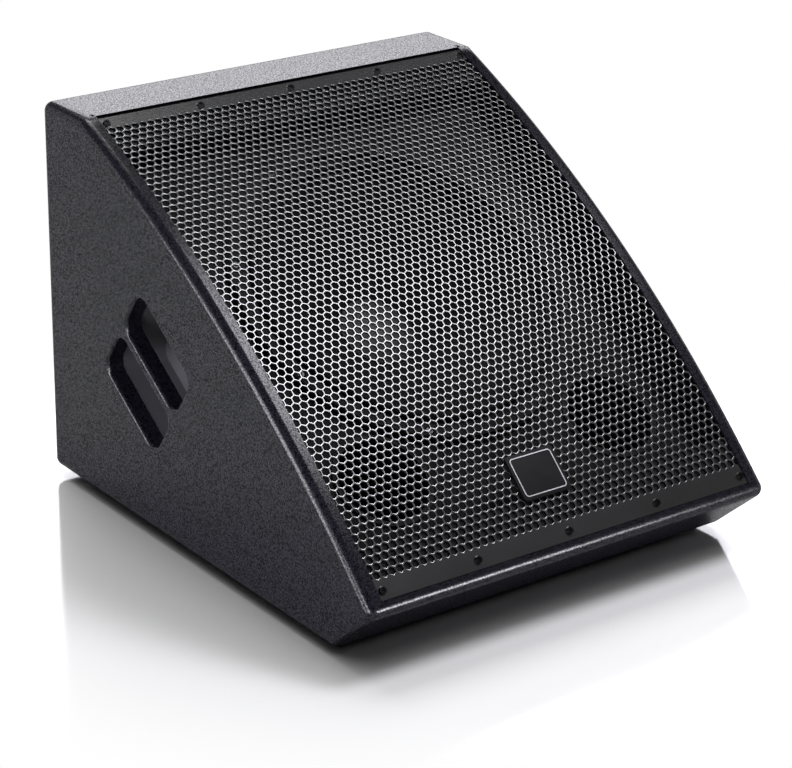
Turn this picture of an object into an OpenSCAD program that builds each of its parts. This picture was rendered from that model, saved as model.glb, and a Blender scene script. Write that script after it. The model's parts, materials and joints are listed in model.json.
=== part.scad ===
// Stage monitor wedge: a powered floor loudspeaker with a bowed steel grille.
// Millimetres, +Z up. It stands on its feet at z = 0 and its front faces -Y.
// Outline points are [depth from the back face, height above the floor].

/* [Cabinet] */
// Outside width of the cabinet
cab_w = 408; // [388:1:440]
// Height of the wooden box without its feet
cab_h = 334; // [322:1:350]
// Depth of the top, from the back to its sharp front edge
top_d = 64.3; // [58:0.1:80]
// Depth from the back to the lower front edge, before it is rounded
nose_d = 477.8; // [470:0.1:494]
// Height of the lower front edge above the box's underside
nose_h = 47; // [42:1:54]
// Depth of the underside
bottom_d = 424.8; // [414:0.1:434]
// Bow of the front above its chord
front_bow = 24.5; // [18:0.5:30]
// Thickness of the wooden panels
panel_t = 15; // [12:0.5:16]
// Radius of the rounded outer edges
edge_r = 8; // [5:0.5:9]

/* [Grille] */
// Thickness of the steel sheet
grille_t = 1.5; // [1:0.1:2]
// How far the sheet lies below the front of the side panels
grille_recess = 1; // [0.5:0.1:1.5]
// Clearance between the sheet and the wood under it
grille_seat = 0.2; // [0.1:0.05:0.4]
// Width of the wooden lip beside the sheet
lip_w = 11.5; // [9:0.5:13]
// Gap between the sheet's sides and the lips
grille_side_gap = 1.5; // [0.5:0.5:3]
// Gap between the sheet and the top panel's edge
grille_top_gap = 3; // [1:0.5:5]
// Gap between the sheet and the lower lip
grille_low_gap = 1; // [0.5:0.5:3]
// Height of the lower lip along the front
low_lip_h = 11.2; // [9:0.2:14]
// Six-sided openings in each row of the sheet, fewer and wider than a real sheet's
mesh_count = 12; // [6:1:12]
// Web between two openings
mesh_web = 5; // [3:0.5:8]
// Plain margin beside the openings
mesh_side = 4; // [3:0.5:8]
// Least plain margin above and below the openings
mesh_end = 15.5; // [13:0.5:20]
// Screws in each row
grille_screw_count = 5; // [3:1:7]
// Distance of the screw rows from the sheet's upper and lower edges
grille_screw_in = 7.2; // [6:0.2:10]
// Distance of the outer screws from the sheet's sides
grille_screw_side = 7; // [5:0.5:12]
// Head radius of the grille screws
grille_head_r = 3.7; // [3:0.1:4.5]
// Head height of the grille screws
grille_head_h = 2; // [1.5:0.1:3]
// Shank radius of the grille screws
grille_shank_r = 1.8; // [1.5:0.1:2]
// Shank length of the grille screws
grille_shank_l = 9; // [7:0.5:10]
// Length of the wooden battens along the front
front_batten_l = 44; // [38:1:50]

/* [Badge] */
// Width of the blank badge plate
badge_w = 48; // [30:1:60]
// Height of the blank badge plate
badge_h = 40; // [25:1:50]
// Thickness of the badge plate
badge_t = 2.4; // [1:0.2:4]
// Corner radius of the badge plate
badge_r = 3; // [1:0.5:5]
// Sideways place of the badge
badge_x = -4; // [-60:1:60]
// Distance of the badge's centre from the sheet's lower edge
badge_up = 60; // [45:1:120]

/* [Handles] */
// Place of the handle along the front's chord, from the top edge
handle_u = 189.3; // [174:0.1:204]
// Depth of the handle behind the front's chord
handle_in = 104.8; // [98:0.1:118]
// Length of a finger slot
slot_l = 93; // [80:1:105]
// Width of a finger slot
slot_w = 45; // [36:1:48]
// Distance between the two slots' centres
slot_pitch = 55.2; // [52:0.2:60]
// Corner radius of the slots
slot_r = 12; // [8:0.5:15]
// Radius of the slots' rounded outer edges
slot_edge_r = 3.2; // [2:0.2:3.4]
// Depth of the cup behind the side panel
cup_d = 43; // [35:1:50]
// Wall of the cup
cup_t = 3; // [2:0.5:4]
// Width of the cup's flange
cup_flange_w = 9; // [6:1:12]
// How far the cup is larger than the slots on each side
cup_gap = 0.5; // [0:0.1:1]

/* [Baffle and ports] */
// Depth of the baffle's face behind the front's chord
baffle_in = 18; // [16:0.5:20]
// Place of the driver along the front's chord, from the top edge
driver_u = 221; // [215:1:228]
// Radius of the driver's hole in the baffle
cutout_r = 141.5; // [141.2:0.1:143]
// Place of the ports along the front's chord, from the top edge
port_u = 386; // [384:1:396]
// Sideways distance of the ports from the middle
port_x = 117; // [114:1:124]
// Bore radius of the ports
port_r = 39; // [30:0.5:40]
// Wall of the port tubes
port_t = 2.5; // [2:0.5:4]
// Length of the port tubes behind the baffle's face
port_l = 50; // [35:1:56]
// Width of the ports' front lip past the tube
port_lip_w = 1.5; // [1:0.5:2]
// Thickness of the ports' front lip
port_lip_t = 2; // [1:0.5:3]

/* [Woofer] */
// Outside radius of the driver's frame
frame_r = 155; // [152:0.5:156]
// Thickness of the frame's rim
rim_t = 5; // [4:0.5:7]
// Wall of the frame's basket
basket_t = 3; // [2:0.5:4]
// Windows in the basket
window_count = 6; // [5:1:7]
// Width of a window in the basket
window_w = 66; // [50:1:70]
// Radius of the cone at its rim
cone_r = 127; // [122:0.5:128]
// Depth of the cone below the baffle's face
cone_depth = 60; // [52:1:64]
// Thickness of the cone
cone_t = 1.2; // [0.8:0.1:2]
// Radius of the voice coil former
coil_r = 32; // [30:0.5:34]
// Length of the voice coil former below the cone
coil_l = 44; // [40:1:45]
// Height of the dust screen's dome
dome_h = 7; // [4:0.5:10]
// Height of the surround's roll
roll_h = 7; // [5:0.5:9]
// Depth of the spider below the cone's neck
spider_drop = 14; // [12:0.5:16]
// Thickness of the steel plates of the magnet
plate_t = 8; // [6:0.5:10]
// Radius of the steel plates of the magnet
plate_r = 75; // [70:1:78]
// Radius of the ring magnet
magnet_r = 84; // [79:1:86]
// Height of the ring magnet
magnet_h = 20; // [18:0.5:22]
// Clearance on each side of the voice coil
coil_gap = 0.8; // [0.5:0.1:1.2]
// Travel of the cone each way
cone_travel = 6; // [4:0.5:7]
// Screws that hold the frame
frame_screw_count = 8; // [4:1:12]
// Thickness of the gasket on the frame's rim
gasket_t = 3; // [2:0.5:5]

/* [High-frequency driver] */
// Radius of the high-frequency driver
hf_r = 42; // [38:1:45]
// Depth of its motor
hf_motor_h = 22; // [18:1:26]
// Depth of its rear cover
hf_cover_h = 20; // [18:1:24]
// Wall of its rear cover
hf_cover_t = 2.5; // [1.5:0.5:4]
// Bevel round its rear cover's back
hf_cover_bevel = 12; // [8:0.5:14]
// Radius of its throat
throat_r = 12.7; // [10:0.1:14]
// Radius of the diaphragm's dome
diaphragm_r = 22; // [20:0.5:24]
// Height of the diaphragm's dome
diaphragm_h = 6; // [4:0.5:8]
// Thickness of the diaphragm
diaphragm_t = 0.6; // [0.4:0.1:1]
// Gap on each side of the diaphragm's rim
diaphragm_gap = 0.7; // [0.6:0.05:0.9]

/* [Rear plate] */
// Width of the rear plate
amp_w = 230; // [228:1:236]
// Height of the rear plate
amp_h = 190; // [186:1:196]
// Thickness of the rear plate
amp_t = 2; // [1.5:0.1:3]
// Height of the plate's centre above the box's underside
amp_up = 168; // [160:1:176]
// Gap between the plate and its opening
amp_gap = 0.5; // [0.2:0.1:1]
// Width of the battens round the plate
amp_batten_w = 20; // [17:1:24]
// Depth of the battens round the plate
amp_batten_t = 18; // [14:1:22]
// How far the plate rests on the battens
amp_rest = 8; // [7:0.5:9]
// Height of the heat sink
sink_h = 58; // [50:1:60]
// Width of the heat sink
sink_w = 196; // [170:2:200]
// Thickness of the heat sink's base
sink_base = 2; // [1.5:0.5:3]
// Length of the heat sink's fins
fin_l = 8.5; // [6:0.5:9]
// Thickness of a fin
fin_t = 2; // [1.5:0.1:2.5]
// Number of fins
fin_count = 25; // [15:1:28]
// Width of the circuit board
board_w = 112; // [104:1:114]
// Height of the circuit board
board_h = 62; // [56:1:64]
// Thickness of the circuit board
board_t = 1.6; // [1.2:0.1:2.4]
// Length of the board's spacers
spacer_l = 8; // [6:0.5:12]
// Radius of the leads to the drivers
lead_r = 2; // [1.5:0.1:2.5]
// Radius of the reservoir capacitors
cap_r = 12.5; // [9:0.5:13]
// Height of the reservoir capacitors
cap_h = 36; // [25:1:40]
// Outside radius of the mains transformer
coil_core_r = 36; // [30:1:37]
// Height of the mains transformer
coil_core_h = 36; // [28:1:40]
// Radius of a knob
knob_r = 8; // [6:0.5:9]
// Height of a knob
knob_h = 9; // [7:0.5:9.5]
// Turn of a knob each way, degrees
knob_turn = 150; // [90:5:160]
// Radius of a round socket's barrel
socket_r = 12; // [11:0.5:13]
// Depth of a round socket behind the plate
socket_l = 22; // [20:1:26]
// Width of a socket's flange
socket_w = 27; // [27:0.5:30]
// Height of a socket's flange
socket_h = 31; // [30:0.5:33]
// Thickness of the sockets' flanges
socket_flange_t = 2; // [1.5:0.1:3]
// Width of the mains inlet's flange
inlet_w = 50; // [44:1:52]
// Height of the mains inlet's flange
inlet_h = 28; // [26:0.5:32]
// Depth of the mains inlet behind the plate
inlet_l = 24; // [22:1:30]
// Length of the power switch
switch_l = 24; // [22:0.5:26]
// Width of the power switch
switch_w = 15; // [14:0.5:17]
// Angle of the rocker's travel, degrees
rocker_turn = 16; // [10:1:20]

/* [Feet] */
// Height of the feet
foot_h = 8; // [6:0.5:14]
// Radius of a foot at the cabinet
foot_r = 15; // [12:0.5:17]
// Radius of a foot at the floor
foot_low_r = 13; // [11:0.5:15]
// Distance of the feet from the cabinet's sides
foot_side = 36; // [30:1:60]
// Distance of the rear feet from the back
foot_back = 48; // [36:1:70]
// Distance of the front feet from the underside's front edge
foot_front = 50; // [40:1:80]

/* [Hidden] */
$fn = 96;
// Facets of the wide front arc
arc_fn = 720;
// How far a cutting shape runs past what it cuts
over = 5;
// Clearance round a screw, and between seated flat pieces that are cut to curves
fit = 0.1;

base_z = foot_h;
top_z = foot_h + cab_h;
in_w = cab_w - 2 * panel_t;

// Side outline: top edge, lower front edge and front edge of the underside
top_edge = [top_d, top_z];
nose_edge = [nose_d, base_z + nose_h];
heel_edge = [bottom_d, base_z];
chord_l = norm(nose_edge - top_edge);
slope = atan2(top_edge[1] - nose_edge[1], nose_edge[0] - top_edge[0]);
down = [cos(slope), -sin(slope)];
out = [sin(slope), cos(slope)];

// Bowed front: its radius, centre and length
front_r = (chord_l * chord_l / 4 + front_bow * front_bow) / (2 * front_bow);
front_half = asin(chord_l / 2 / front_r);
front_c = (top_edge + nose_edge) / 2 + out * (front_bow - front_r);
front_len = front_r * front_half * PI / 90;

// Kick panel: its direction up the front and its inward normal
kick_dir = (nose_edge - heel_edge) / norm(nose_edge - heel_edge);
kick_in = [-kick_dir[1], kick_dir[0]];
// Step along the kick panel for a step up, and the panel's inner end on the underside
kick_rise = kick_dir / kick_dir[1];
kick_heel = heel_edge - [panel_t / kick_dir[1], 0];

// Point on the line at a distance inside the kick face that lies on a circle round the front's centre
function kick_start(inside) = heel_edge + kick_in * inside - front_c;
function kick_reach(from, r) = sqrt(pow(from * kick_dir, 2) - from * from + r * r) - from * kick_dir;
function kick_on(from, r) = front_c + from + kick_dir * kick_reach(from, r);
function kick_hit(inside, r) = kick_on(kick_start(inside), r);

// Rounded lower front edge, which is the foremost point
nose_c = kick_hit(edge_r, front_r - edge_r);
cab_d = nose_c[0] + edge_r;
back_y = cab_d / 2;

// From outline point to the part's own y and z
function yz(p) = [back_y - p[0], p[1]];
// Turn of the front's normal from the chord's at a length from the top edge
function turn_at(s) = s / front_r * 180 / PI - front_half;
// Point at a length along the front and a radius from its centre
function on_arc(s, r) = front_c + r * (sin(turn_at(s)) * down + cos(turn_at(s)) * out);
// Point at a height on a circle round the front's centre
function arc_at_height(z, r) = [front_c[0] + sqrt(r * r - pow(z - front_c[1], 2)), z];
// Point at a distance down the chord and a depth behind it
function behind_chord(u, depth) = top_edge + u * down - depth * out;
// Distance down the chord of a point
function chord_u(p) = (p - top_edge) * down;
// Where a line behind the chord meets the top panel's underside and the kick panel's inner face
function u_under_top(depth) = (panel_t - depth * cos(slope)) / sin(slope);
function u_at_kick(depth) = (panel_t - (top_edge - depth * out - heel_edge) * kick_in) / (down * kick_in);

// Pocket for the grille, and the sheet in it
pocket_deep = grille_recess + grille_t + grille_seat;
pocket_w = cab_w - 2 * lip_w;
pocket_top = -0.5;
pocket_low = front_len - low_lip_h;
grille_w = pocket_w - 2 * grille_side_gap;
grille_top = grille_top_gap;
grille_low = pocket_low - grille_low_gap;
grille_face_r = front_r - grille_recess;
screw_rows = [grille_top + grille_screw_in, grille_low - grille_screw_in];
screw_span = grille_w - 2 * grille_screw_side;
screw_xs = [for (i = [0 : grille_screw_count - 1]) (i / (grille_screw_count - 1) - 0.5) * screw_span];
batten_r = front_r - pocket_deep - fit;

// Openings of the grille, in rows that step sideways by half a pitch in turn
mesh_pitch = (grille_w - 2 * mesh_side + mesh_web) / (mesh_count + 0.5);
mesh_row = mesh_pitch * sqrt(3) / 2;
mesh_r = (mesh_pitch - mesh_web) / sqrt(3);
mesh_rows = 1 + floor((grille_low - grille_top - 2 * mesh_end - 2 * mesh_r) / mesh_row);
mesh_first = (grille_top + grille_low - (mesh_rows - 1) * mesh_row) / 2;

// Handles
handle_c = behind_chord(handle_u, handle_in);
cup_l = slot_l + 2 * cup_gap;
cup_w = slot_pitch + slot_w + 2 * cup_gap;
cup_r = slot_r + cup_gap;

// Woofer levels on its own axis, with zero at the baffle's face and plus towards the front
shelf_in = 3;
shelf_z = rim_t - shelf_in;
basket_r = cutout_r - 1;
roll_w = 9;
glue_w = 6;
roll_end_r = cone_r + roll_w;
glue_r = roll_end_r + glue_w;
shelf_r = roll_end_r - shelf_in;
neck_z = -cone_depth;
spider_z = neck_z - spider_drop;
spider_t = 1.2;
spider_r = 70;
spider_seat_w = 10;
spider_seat_t = 3;
spider_seat_r = spider_r - spider_seat_w;
ring_z = spider_z - spider_t - spider_seat_t;
frame_end = ring_z - 8;
basket_low_r = magnet_r + 4;
basket_bend = 4;
window_top = 16;
frame_foot_w = 22;
plate_end = frame_end - plate_t;
magnet_end = plate_end - magnet_h;
yoke_end = magnet_end - plate_t;
motor_end = yoke_end - hf_motor_h;
hf_cavity = 2 * diaphragm_gap + diaphragm_t;
diaphragm_rim_r = diaphragm_r + 6;
winding_t = 1.2;
winding_h = 16;
winding_up = 2;
former_t = 0.6;
// Running clearance between pieces that move past each other
run_gap = 0.3;
magnet_bore_r = coil_r + 13;
throat_flare = 8;
throat_taper = 4;
pole_r = coil_r - former_t - coil_gap;
plate_bore_r = coil_r + winding_t + coil_gap;
frame_pcd_r = (frame_r + cutout_r) / 2;
frame_shank_r = 2;
frame_shank_l = panel_t + rim_t - 2;
frame_head_r = 3.8;
frame_head_h = 2.6;
gasket_in_r = glue_r + fit;
gasket_out_r = frame_r - 1.5;
gasket_gap = 0.4;

// Rear plate places, seen from behind with x to the right and y up
pot_size = 17;
sink_top = 14;
control_drop = 26;
power_drop = 46;
row_side = 22.5;
inlet_side = 22;
switch_step = 26;
light_step = 28;
lift_step = 26;
sink_y = amp_h / 2 - sink_top - sink_h / 2;
control_y = sink_y - sink_h / 2 - control_drop;
power_y = control_y - power_drop;
// Sockets and controls in one row, with even gaps between them
row_gap = (amp_w - 2 * row_side - 2 * socket_w - 3 * pot_size) / 4;
input_x = -amp_w / 2 + row_side + socket_w / 2;
link_x = input_x + socket_w + row_gap;
first_knob_x = link_x + socket_w / 2 + row_gap + pot_size / 2;
knob_xs = [for (i = [0 : 2]) first_knob_x + i * (pot_size + row_gap)];
inlet_x = amp_w / 2 - inlet_side - inlet_w / 2;
switch_x = inlet_x - inlet_w / 2 - switch_step;
light_x = switch_x - light_step;
lift_x = light_x - lift_step;
plate_screw_in = 4.5;
plate_head_r = 3;
plate_head_h = 2;
plate_shank_r = 1.6;
plate_shank_l = 14;
// Circuit board and transformer side by side between the battens, with even gaps
inner_gap = (amp_w - 2 * amp_rest - board_w - 2 * coil_core_r) / 3;
board_x = -amp_w / 2 + amp_rest + inner_gap + board_w / 2;
board_y = sink_y - 2;
board_front = -amp_t - spacer_l;
board_back = board_front - board_t;
spacer_r = 3;
spacer_in = 5;
cap_gap = 8;
lead_sides = 8;
lead_steps = 14;
lead_bend = 40;
lead_up = 8;
woofer_lead_x = 8;
hf_lead_x = 0;
coil_core_x = amp_w / 2 - amp_rest - inner_gap - coil_core_r;
coil_core_y = sink_y - 7;
coil_core_bore = 12;
clamp_r = 27;
clamp_t = 2.5;
clamp_nut_r = 5;
clamp_nut_h = 4.5;
clamp_bolt_r = 3;
pot_l = 10;
pot_floor = 2;
pot_end = -amp_t - pot_l + pot_floor;
bush_r = 4.2;
bush_h = 1;
spindle_r = 3;
knob_lift = bush_h + run_gap;
flute_count = 18;
flute_r = 0.8;
flute_out = 0.3;
pointer_w = 0.9;
pointer_t = 0.5;
latch_w = 7;
latch_h = 3.4;
latch_y = socket_h / 2 - latch_h / 2 - 1.2;
latch_travel = 1.5;
latch_l = 6;
latch_proud = 1.2;
slide_gap = 0.35;
socket_corner_r = 2;
core_r = socket_r - 5.3;
groove_r = socket_r - 2.6;
groove_l = 14;
groove_end = socket_flange_t - groove_l;
pin_ring_r = 4.4;
pin_r = 1.2;
pin_root = 1;
pin_in = 3;
contact_r = 1.3;
contact_floor = 2;
inlet_in_w = 24;
inlet_in_h = 16;
inlet_in_l = 17;
inlet_wall = 2.5;
inlet_flange_t = 2.5;
inlet_corner_r = 4;
inlet_body_w = inlet_in_w + 2 * inlet_wall;
inlet_body_h = inlet_in_h + 2 * inlet_wall;
blade_t = 2;
blade_w = 4;
blade_l = 13;
blade_x = 7;
blade_y = 2.2;
bezel_w = 2.4;
bezel_t = 1.6;
switch_deep = 18;
switch_floor = 2;
switch_body_w = switch_w - bezel_w;
switch_body_l = switch_l - bezel_w;
rocker_r = switch_l / 2 - bezel_w - slide_gap;
rocker_w = switch_w - 2 * bezel_w - 2 * slide_gap;
rocker_pivot = -2;
rocker_low = -6;
rocker_mid = 3.4;
rocker_pin_r = 1.4;
rocker_pin_l = switch_body_w - 1;
light_r = 2.5;
light_l = 4;
lift_w = 13;
lift_h = 6;
lift_l = 7;
lift_travel = 3;
lift_knob_w = 3;
lift_knob_h = 3;
lift_knob_in = 3;
lift_knob_out = 1.5;
lift_slot_w = lift_knob_w + lift_travel + 2 * slide_gap;
lift_slot_h = lift_knob_h + 2 * slide_gap;
latch_slot_w = latch_w + 2 * slide_gap;
latch_slot_h = latch_h + 2 * slide_gap;
latch_slot_end = -latch_l - latch_travel - 1;

// Feet
foot_xs = [-cab_w / 2 + foot_side, cab_w / 2 - foot_side];
foot_ys = [back_y - foot_back, back_y - bottom_d + foot_front];
foot_bore_r = 5;
foot_bore_l = foot_h / 2;
foot_shank_r = 2.2;
foot_shank_l = foot_h - foot_bore_l + panel_t - 4;
foot_head_r = 4.4;
foot_head_h = 2.4;

// Shared shapes

module across(w) {
    translate([-w / 2, 0, 0]) rotate([90, 0, 90]) linear_extrude(w) children();
}

module slab(points, w) {
    across(w) polygon([for (p = points) yz(p)]);
}

// Puts something at an outline point, a distance across and turned about x
module at_point(p, x, turn = 0) {
    translate([x, yz(p)[0], p[1]]) rotate([turn, 0, 0]) children();
}

module front_cylinder(r, w) {
    at_point(front_c, -w / 2) rotate([0, 90, 0]) cylinder(r = r, h = w, $fn = arc_fn);
}

module at_arc(s, x, r) {
    at_point(on_arc(s, r), x, slope + turn_at(s)) children();
}

module at_chord(u, depth, x = 0) {
    at_point(behind_chord(u, depth), x, slope) children();
}

module at_driver() {
    at_chord(driver_u, baffle_in) children();
}

// Puts something on the rear plate's outer face, seen from behind
module at_rear(x = 0, y = 0, z = 0) {
    face = back_y - panel_t + amp_t;
    translate([-x, face + z, base_z + amp_up + y]) rotate([90, 0, 180]) children();
}

module round_rect(l, w, r) {
    square([l - 2 * r, w], center = true);
    square([l, w - 2 * r], center = true);
    for (sx = [-1, 1], sy = [-1, 1]) translate([sx * (l / 2 - r), sy * (w / 2 - r)]) circle(r);
}

// Rounded bar along x, with its length along y and its width along z
module round_bar(x0, x1, l, w, r) {
    translate([x0, 0, 0]) rotate([90, 0, 90]) linear_extrude(x1 - x0) round_rect(l, w, r);
}

// Box on the plane z = 0, centred in x and y
module block(w, h, z0, z1) {
    translate([-w / 2, -h / 2, z0]) cube([w, h, z1 - z0]);
}

module tube(r_out, r_in, z0, z1) {
    difference() {
        translate([0, 0, z0]) cylinder(r = r_out, h = z1 - z0);
        translate([0, 0, z0 - over]) cylinder(r = r_in, h = z1 - z0 + 2 * over);
    }
}

module cross_screw(head_r, head_h, shank_r, shank_l) {
    crown = 0.8;
    recess_l = head_r * 1.1;
    recess_w = head_r * 0.24;
    recess_z = head_h * 0.4;
    difference() {
        cylinder(r1 = head_r, r2 = head_r * crown, h = head_h);
        for (a = [0, 90]) rotate(a) block(recess_l, recess_w, recess_z, head_h + over);
    }
    translate([0, 0, -shank_l]) cylinder(r = shank_r, h = shank_l);
}

module screw_hole(shank_r, length) {
    translate([0, 0, -length]) cylinder(r = shank_r + fit, h = length + over);
}

// Cabinet

// Wedge past a rounded outline corner, between two outward directions
module corner_wedge(c, u1, u2, w) {
    reach = 3 * edge_r;
    slab([c, c + reach * u1, c + reach * (u1 + u2), c + reach * u2], w);
}

// Rounding of the outline's rear and nose corners, right across the cabinet
module outline_corners(w) {
    back_low = [edge_r, base_z + edge_r];
    back_high = [edge_r, top_z - edge_r];
    nose_out = (nose_c - front_c) / norm(nose_c - front_c);
    corners = [[back_low, [-1, 0], [0, -1]], [back_high, [-1, 0], [0, 1]], [nose_c, nose_out, -kick_in]];
    for (k = corners) difference() {
        corner_wedge(k[0], k[1], k[2], w);
        at_point(k[0], -w) rotate([0, 90, 0]) cylinder(r = edge_r, h = 2 * w);
    }
}

module envelope(w) {
    reach = 80;
    points = [[0, base_z], [0, top_z], top_edge + [reach, 0], nose_edge + reach * kick_dir, heel_edge];
    difference() {
        intersection() {
            slab(points, w);
            front_cylinder(front_r, w + 2 * over);
        }
        outline_corners(w + 2 * over);
    }
}

// Rounding of one straight outer edge of the right side, with its normal turned about x
module edge_round(p, turn) {
    run = 2 * cab_d;
    at_point(p, cab_w / 2 - edge_r, turn) difference() {
        translate([0, -edge_r, -run / 2]) cube([edge_r + over, edge_r + over, run]);
        translate([0, -edge_r, -run / 2 - over]) cylinder(r = edge_r, h = run + 2 * over);
    }
}

module front_round() {
    at_point(front_c, cab_w / 2 - edge_r) rotate([0, 90, 0]) difference() {
        cylinder(r = front_r + over, h = edge_r + over, $fn = arc_fn);
        translate([0, 0, -over]) cylinder(r = front_r - edge_r, h = edge_r + 3 * over, $fn = arc_fn);
        rotate_extrude($fn = arc_fn) translate([front_r - edge_r, 0]) circle(edge_r, $fn = 64);
    }
}

module side_rounds() {
    edge_round([0, top_z], 90);
    edge_round([0, base_z], -90);
    edge_round([0, base_z], 0);
    edge_round(heel_edge, atan2(-kick_dir[0], -kick_dir[1]));
    front_round();
}

// Sector of the bowed front between two lengths from the top edge, well past its face both ways
module front_sector(s0, s1, w) {
    reach = 2 * front_bow;
    slab([on_arc(s0, front_r - reach), on_arc(s0, front_r + reach),
          on_arc(s1, front_r + reach), on_arc(s1, front_r - reach)], w);
}

module grille_pocket() {
    difference() {
        front_sector(pocket_top, pocket_low, pocket_w);
        front_cylinder(front_r - pocket_deep, pocket_w + 2 * over);
    }
}

module at_handle() {
    at_point(handle_c, 0, slope) children();
}

// One finger slot through the right side, with its outer edge rounded
module finger_slot() {
    face = cab_w / 2;
    start = face - slot_edge_r;
    round_bar(in_w / 2 - over, face + over, slot_l, slot_w, slot_r);
    for (s = [-1, 1]) {
        translate([start, 0, s * (slot_w / 2 + slot_edge_r)]) difference() {
            translate([0, slot_r - slot_l / 2, s > 0 ? -slot_edge_r : 0])
                cube([slot_edge_r + over, slot_l - 2 * slot_r, slot_edge_r]);
            rotate([90, 0, 0]) cylinder(r = slot_edge_r, h = 2 * slot_l, center = true);
        }
        translate([start, s * (slot_l / 2 + slot_edge_r), 0]) difference() {
            translate([0, s > 0 ? -slot_edge_r : 0, slot_r - slot_w / 2])
                cube([slot_edge_r + over, slot_edge_r, slot_w - 2 * slot_r]);
            cylinder(r = slot_edge_r, h = 2 * slot_w, center = true);
        }
        for (t = [-1, 1]) translate([start, s * (slot_l / 2 - slot_r), t * (slot_w / 2 - slot_r)])
            rotate([0, 90, 0]) slot_corner_round();
    }
}

module slot_corner_round() {
    ring_r = slot_r + slot_edge_r;
    difference() {
        cylinder(r = ring_r, h = slot_edge_r + over);
        rotate_extrude() translate([ring_r, 0]) circle(slot_edge_r, $fn = 48);
    }
}

module right_side() {
    difference() {
        intersection() {
            envelope(cab_w);
            translate([in_w / 2, -cab_d, -over]) cube([panel_t + over, 2 * cab_d, top_z + 2 * over]);
        }
        side_rounds();
        grille_pocket();
        grille_pilots();
        at_handle() for (s = [-1, 1]) translate([0, 0, s * slot_pitch / 2]) finger_slot();
    }
}

module side_panel_right() {
    color("#2b2b30") right_side();
}

module side_panel_left() {
    color("#2b2b30") mirror([1, 0, 0]) right_side();
}

module grille_pilots() {
    for (s = screw_rows, x = screw_xs)
        at_arc(s, x, grille_face_r) screw_hole(grille_shank_r, grille_shank_l + fit);
}

module top_panel() {
    color("#2b2b30") difference() {
        intersection() {
            envelope(in_w);
            translate([-cab_w, -cab_d, top_z - panel_t]) cube([2 * cab_w, 2 * cab_d, panel_t + over]);
        }
        grille_pocket();
        grille_pilots();
    }
}

module back_panel() {
    color("#2b2b30") difference() {
        translate([-in_w / 2, back_y - panel_t, base_z + panel_t])
            cube([in_w, panel_t, cab_h - 2 * panel_t]);
        at_rear() block(amp_w + 2 * amp_gap, amp_h + 2 * amp_gap, -2 * panel_t, 2 * panel_t);
    }
}

module bottom_panel() {
    color("#2b2b30") difference() {
        intersection() {
            envelope(in_w);
            slab([[-over, base_z - over], kick_heel - over * kick_rise,
                  kick_heel + panel_t * kick_rise, [-over, base_z + panel_t]], in_w);
        }
        foot_screw_places() screw_hole(foot_shank_r, foot_shank_l + fit);
    }
}

module kick_panel() {
    reach = 2 * nose_h / kick_dir[1];
    color("#2b2b30") difference() {
        intersection() {
            envelope(in_w);
            slab([heel_edge - kick_dir, heel_edge + reach * kick_dir,
                  heel_edge + reach * kick_dir + panel_t * kick_in, kick_heel], in_w);
        }
        grille_pocket();
        grille_pilots();
    }
}

module baffle() {
    rear = baffle_in + panel_t;
    color("#1c1c1e") difference() {
        slab([behind_chord(u_under_top(baffle_in), baffle_in),
              behind_chord(u_at_kick(baffle_in), baffle_in),
              behind_chord(u_at_kick(rear), rear),
              behind_chord(u_under_top(rear), rear)], in_w);
        at_driver() {
            translate([0, 0, -2 * panel_t]) cylinder(r = cutout_r, h = 4 * panel_t, $fn = 180);
            frame_screw_places() screw_hole(frame_shank_r, 3 * panel_t);
        }
        for (s = [-1, 1]) at_chord(port_u, baffle_in, s * port_x)
            translate([0, 0, -2 * panel_t]) cylinder(r = port_r + port_t + fit, h = 4 * panel_t);
    }
}

module top_batten() {
    low = on_arc(front_batten_l, batten_r);
    color("#242426") difference() {
        slab([behind_chord(u_under_top(baffle_in), baffle_in), arc_at_height(top_z - panel_t, batten_r),
              low, behind_chord(chord_u(low), baffle_in)], in_w);
        grille_pilots();
    }
}

module bottom_batten() {
    high = on_arc(pocket_low - front_batten_l, batten_r);
    color("#242426") difference() {
        slab([behind_chord(u_at_kick(baffle_in), baffle_in), kick_hit(panel_t, batten_r),
              high, behind_chord(chord_u(high), baffle_in)], in_w);
        grille_pilots();
    }
}

// Grille, its screws and the badge plate

module grille_mesh() {
    for (row = [0 : mesh_rows - 1], i = [0 : mesh_count - 1]) {
        step = row % 2 == 0 ? 0.25 : -0.25;
        x = (i - (mesh_count - 1) / 2 + step) * mesh_pitch;
        at_arc(mesh_first + row * mesh_row, x, grille_face_r)
            rotate(30) cylinder(r = mesh_r, h = 4 * grille_t, center = true, $fn = 6);
    }
}

module grille() {
    color("#3a3a3c") difference() {
        intersection() {
            front_sector(grille_top, grille_low, grille_w);
            front_cylinder(grille_face_r, grille_w + 2 * over);
        }
        front_cylinder(grille_face_r - grille_t, grille_w + 4 * over);
        grille_pilots();
        grille_mesh();
    }
}

module grille_screws() {
    color("#18181a") for (s = screw_rows, x = screw_xs) at_arc(s, x, grille_face_r)
        cross_screw(grille_head_r, grille_head_h, grille_shank_r, grille_shank_l);
}

module badge_plate() {
    color("#202022") at_arc(grille_low - badge_up, badge_x, grille_face_r + fit / 2)
        linear_extrude(badge_t) round_rect(badge_w, badge_h, badge_r);
}

// Handle cups

// Rounded bar of the cup's size grown by a border
module cup_bar(x0, x1, border) {
    round_bar(x0, x1, cup_l + 2 * border, cup_w + 2 * border, cup_r + border);
}

module right_cup() {
    inner = in_w / 2;
    at_handle() difference() {
        union() {
            cup_bar(inner - cup_d - cup_t, inner, cup_t);
            cup_bar(inner - cup_t, inner, cup_flange_w);
        }
        cup_bar(inner - cup_d, inner + over, 0);
    }
}

module handle_cup_right() {
    color("#38383b") right_cup();
}

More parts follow.
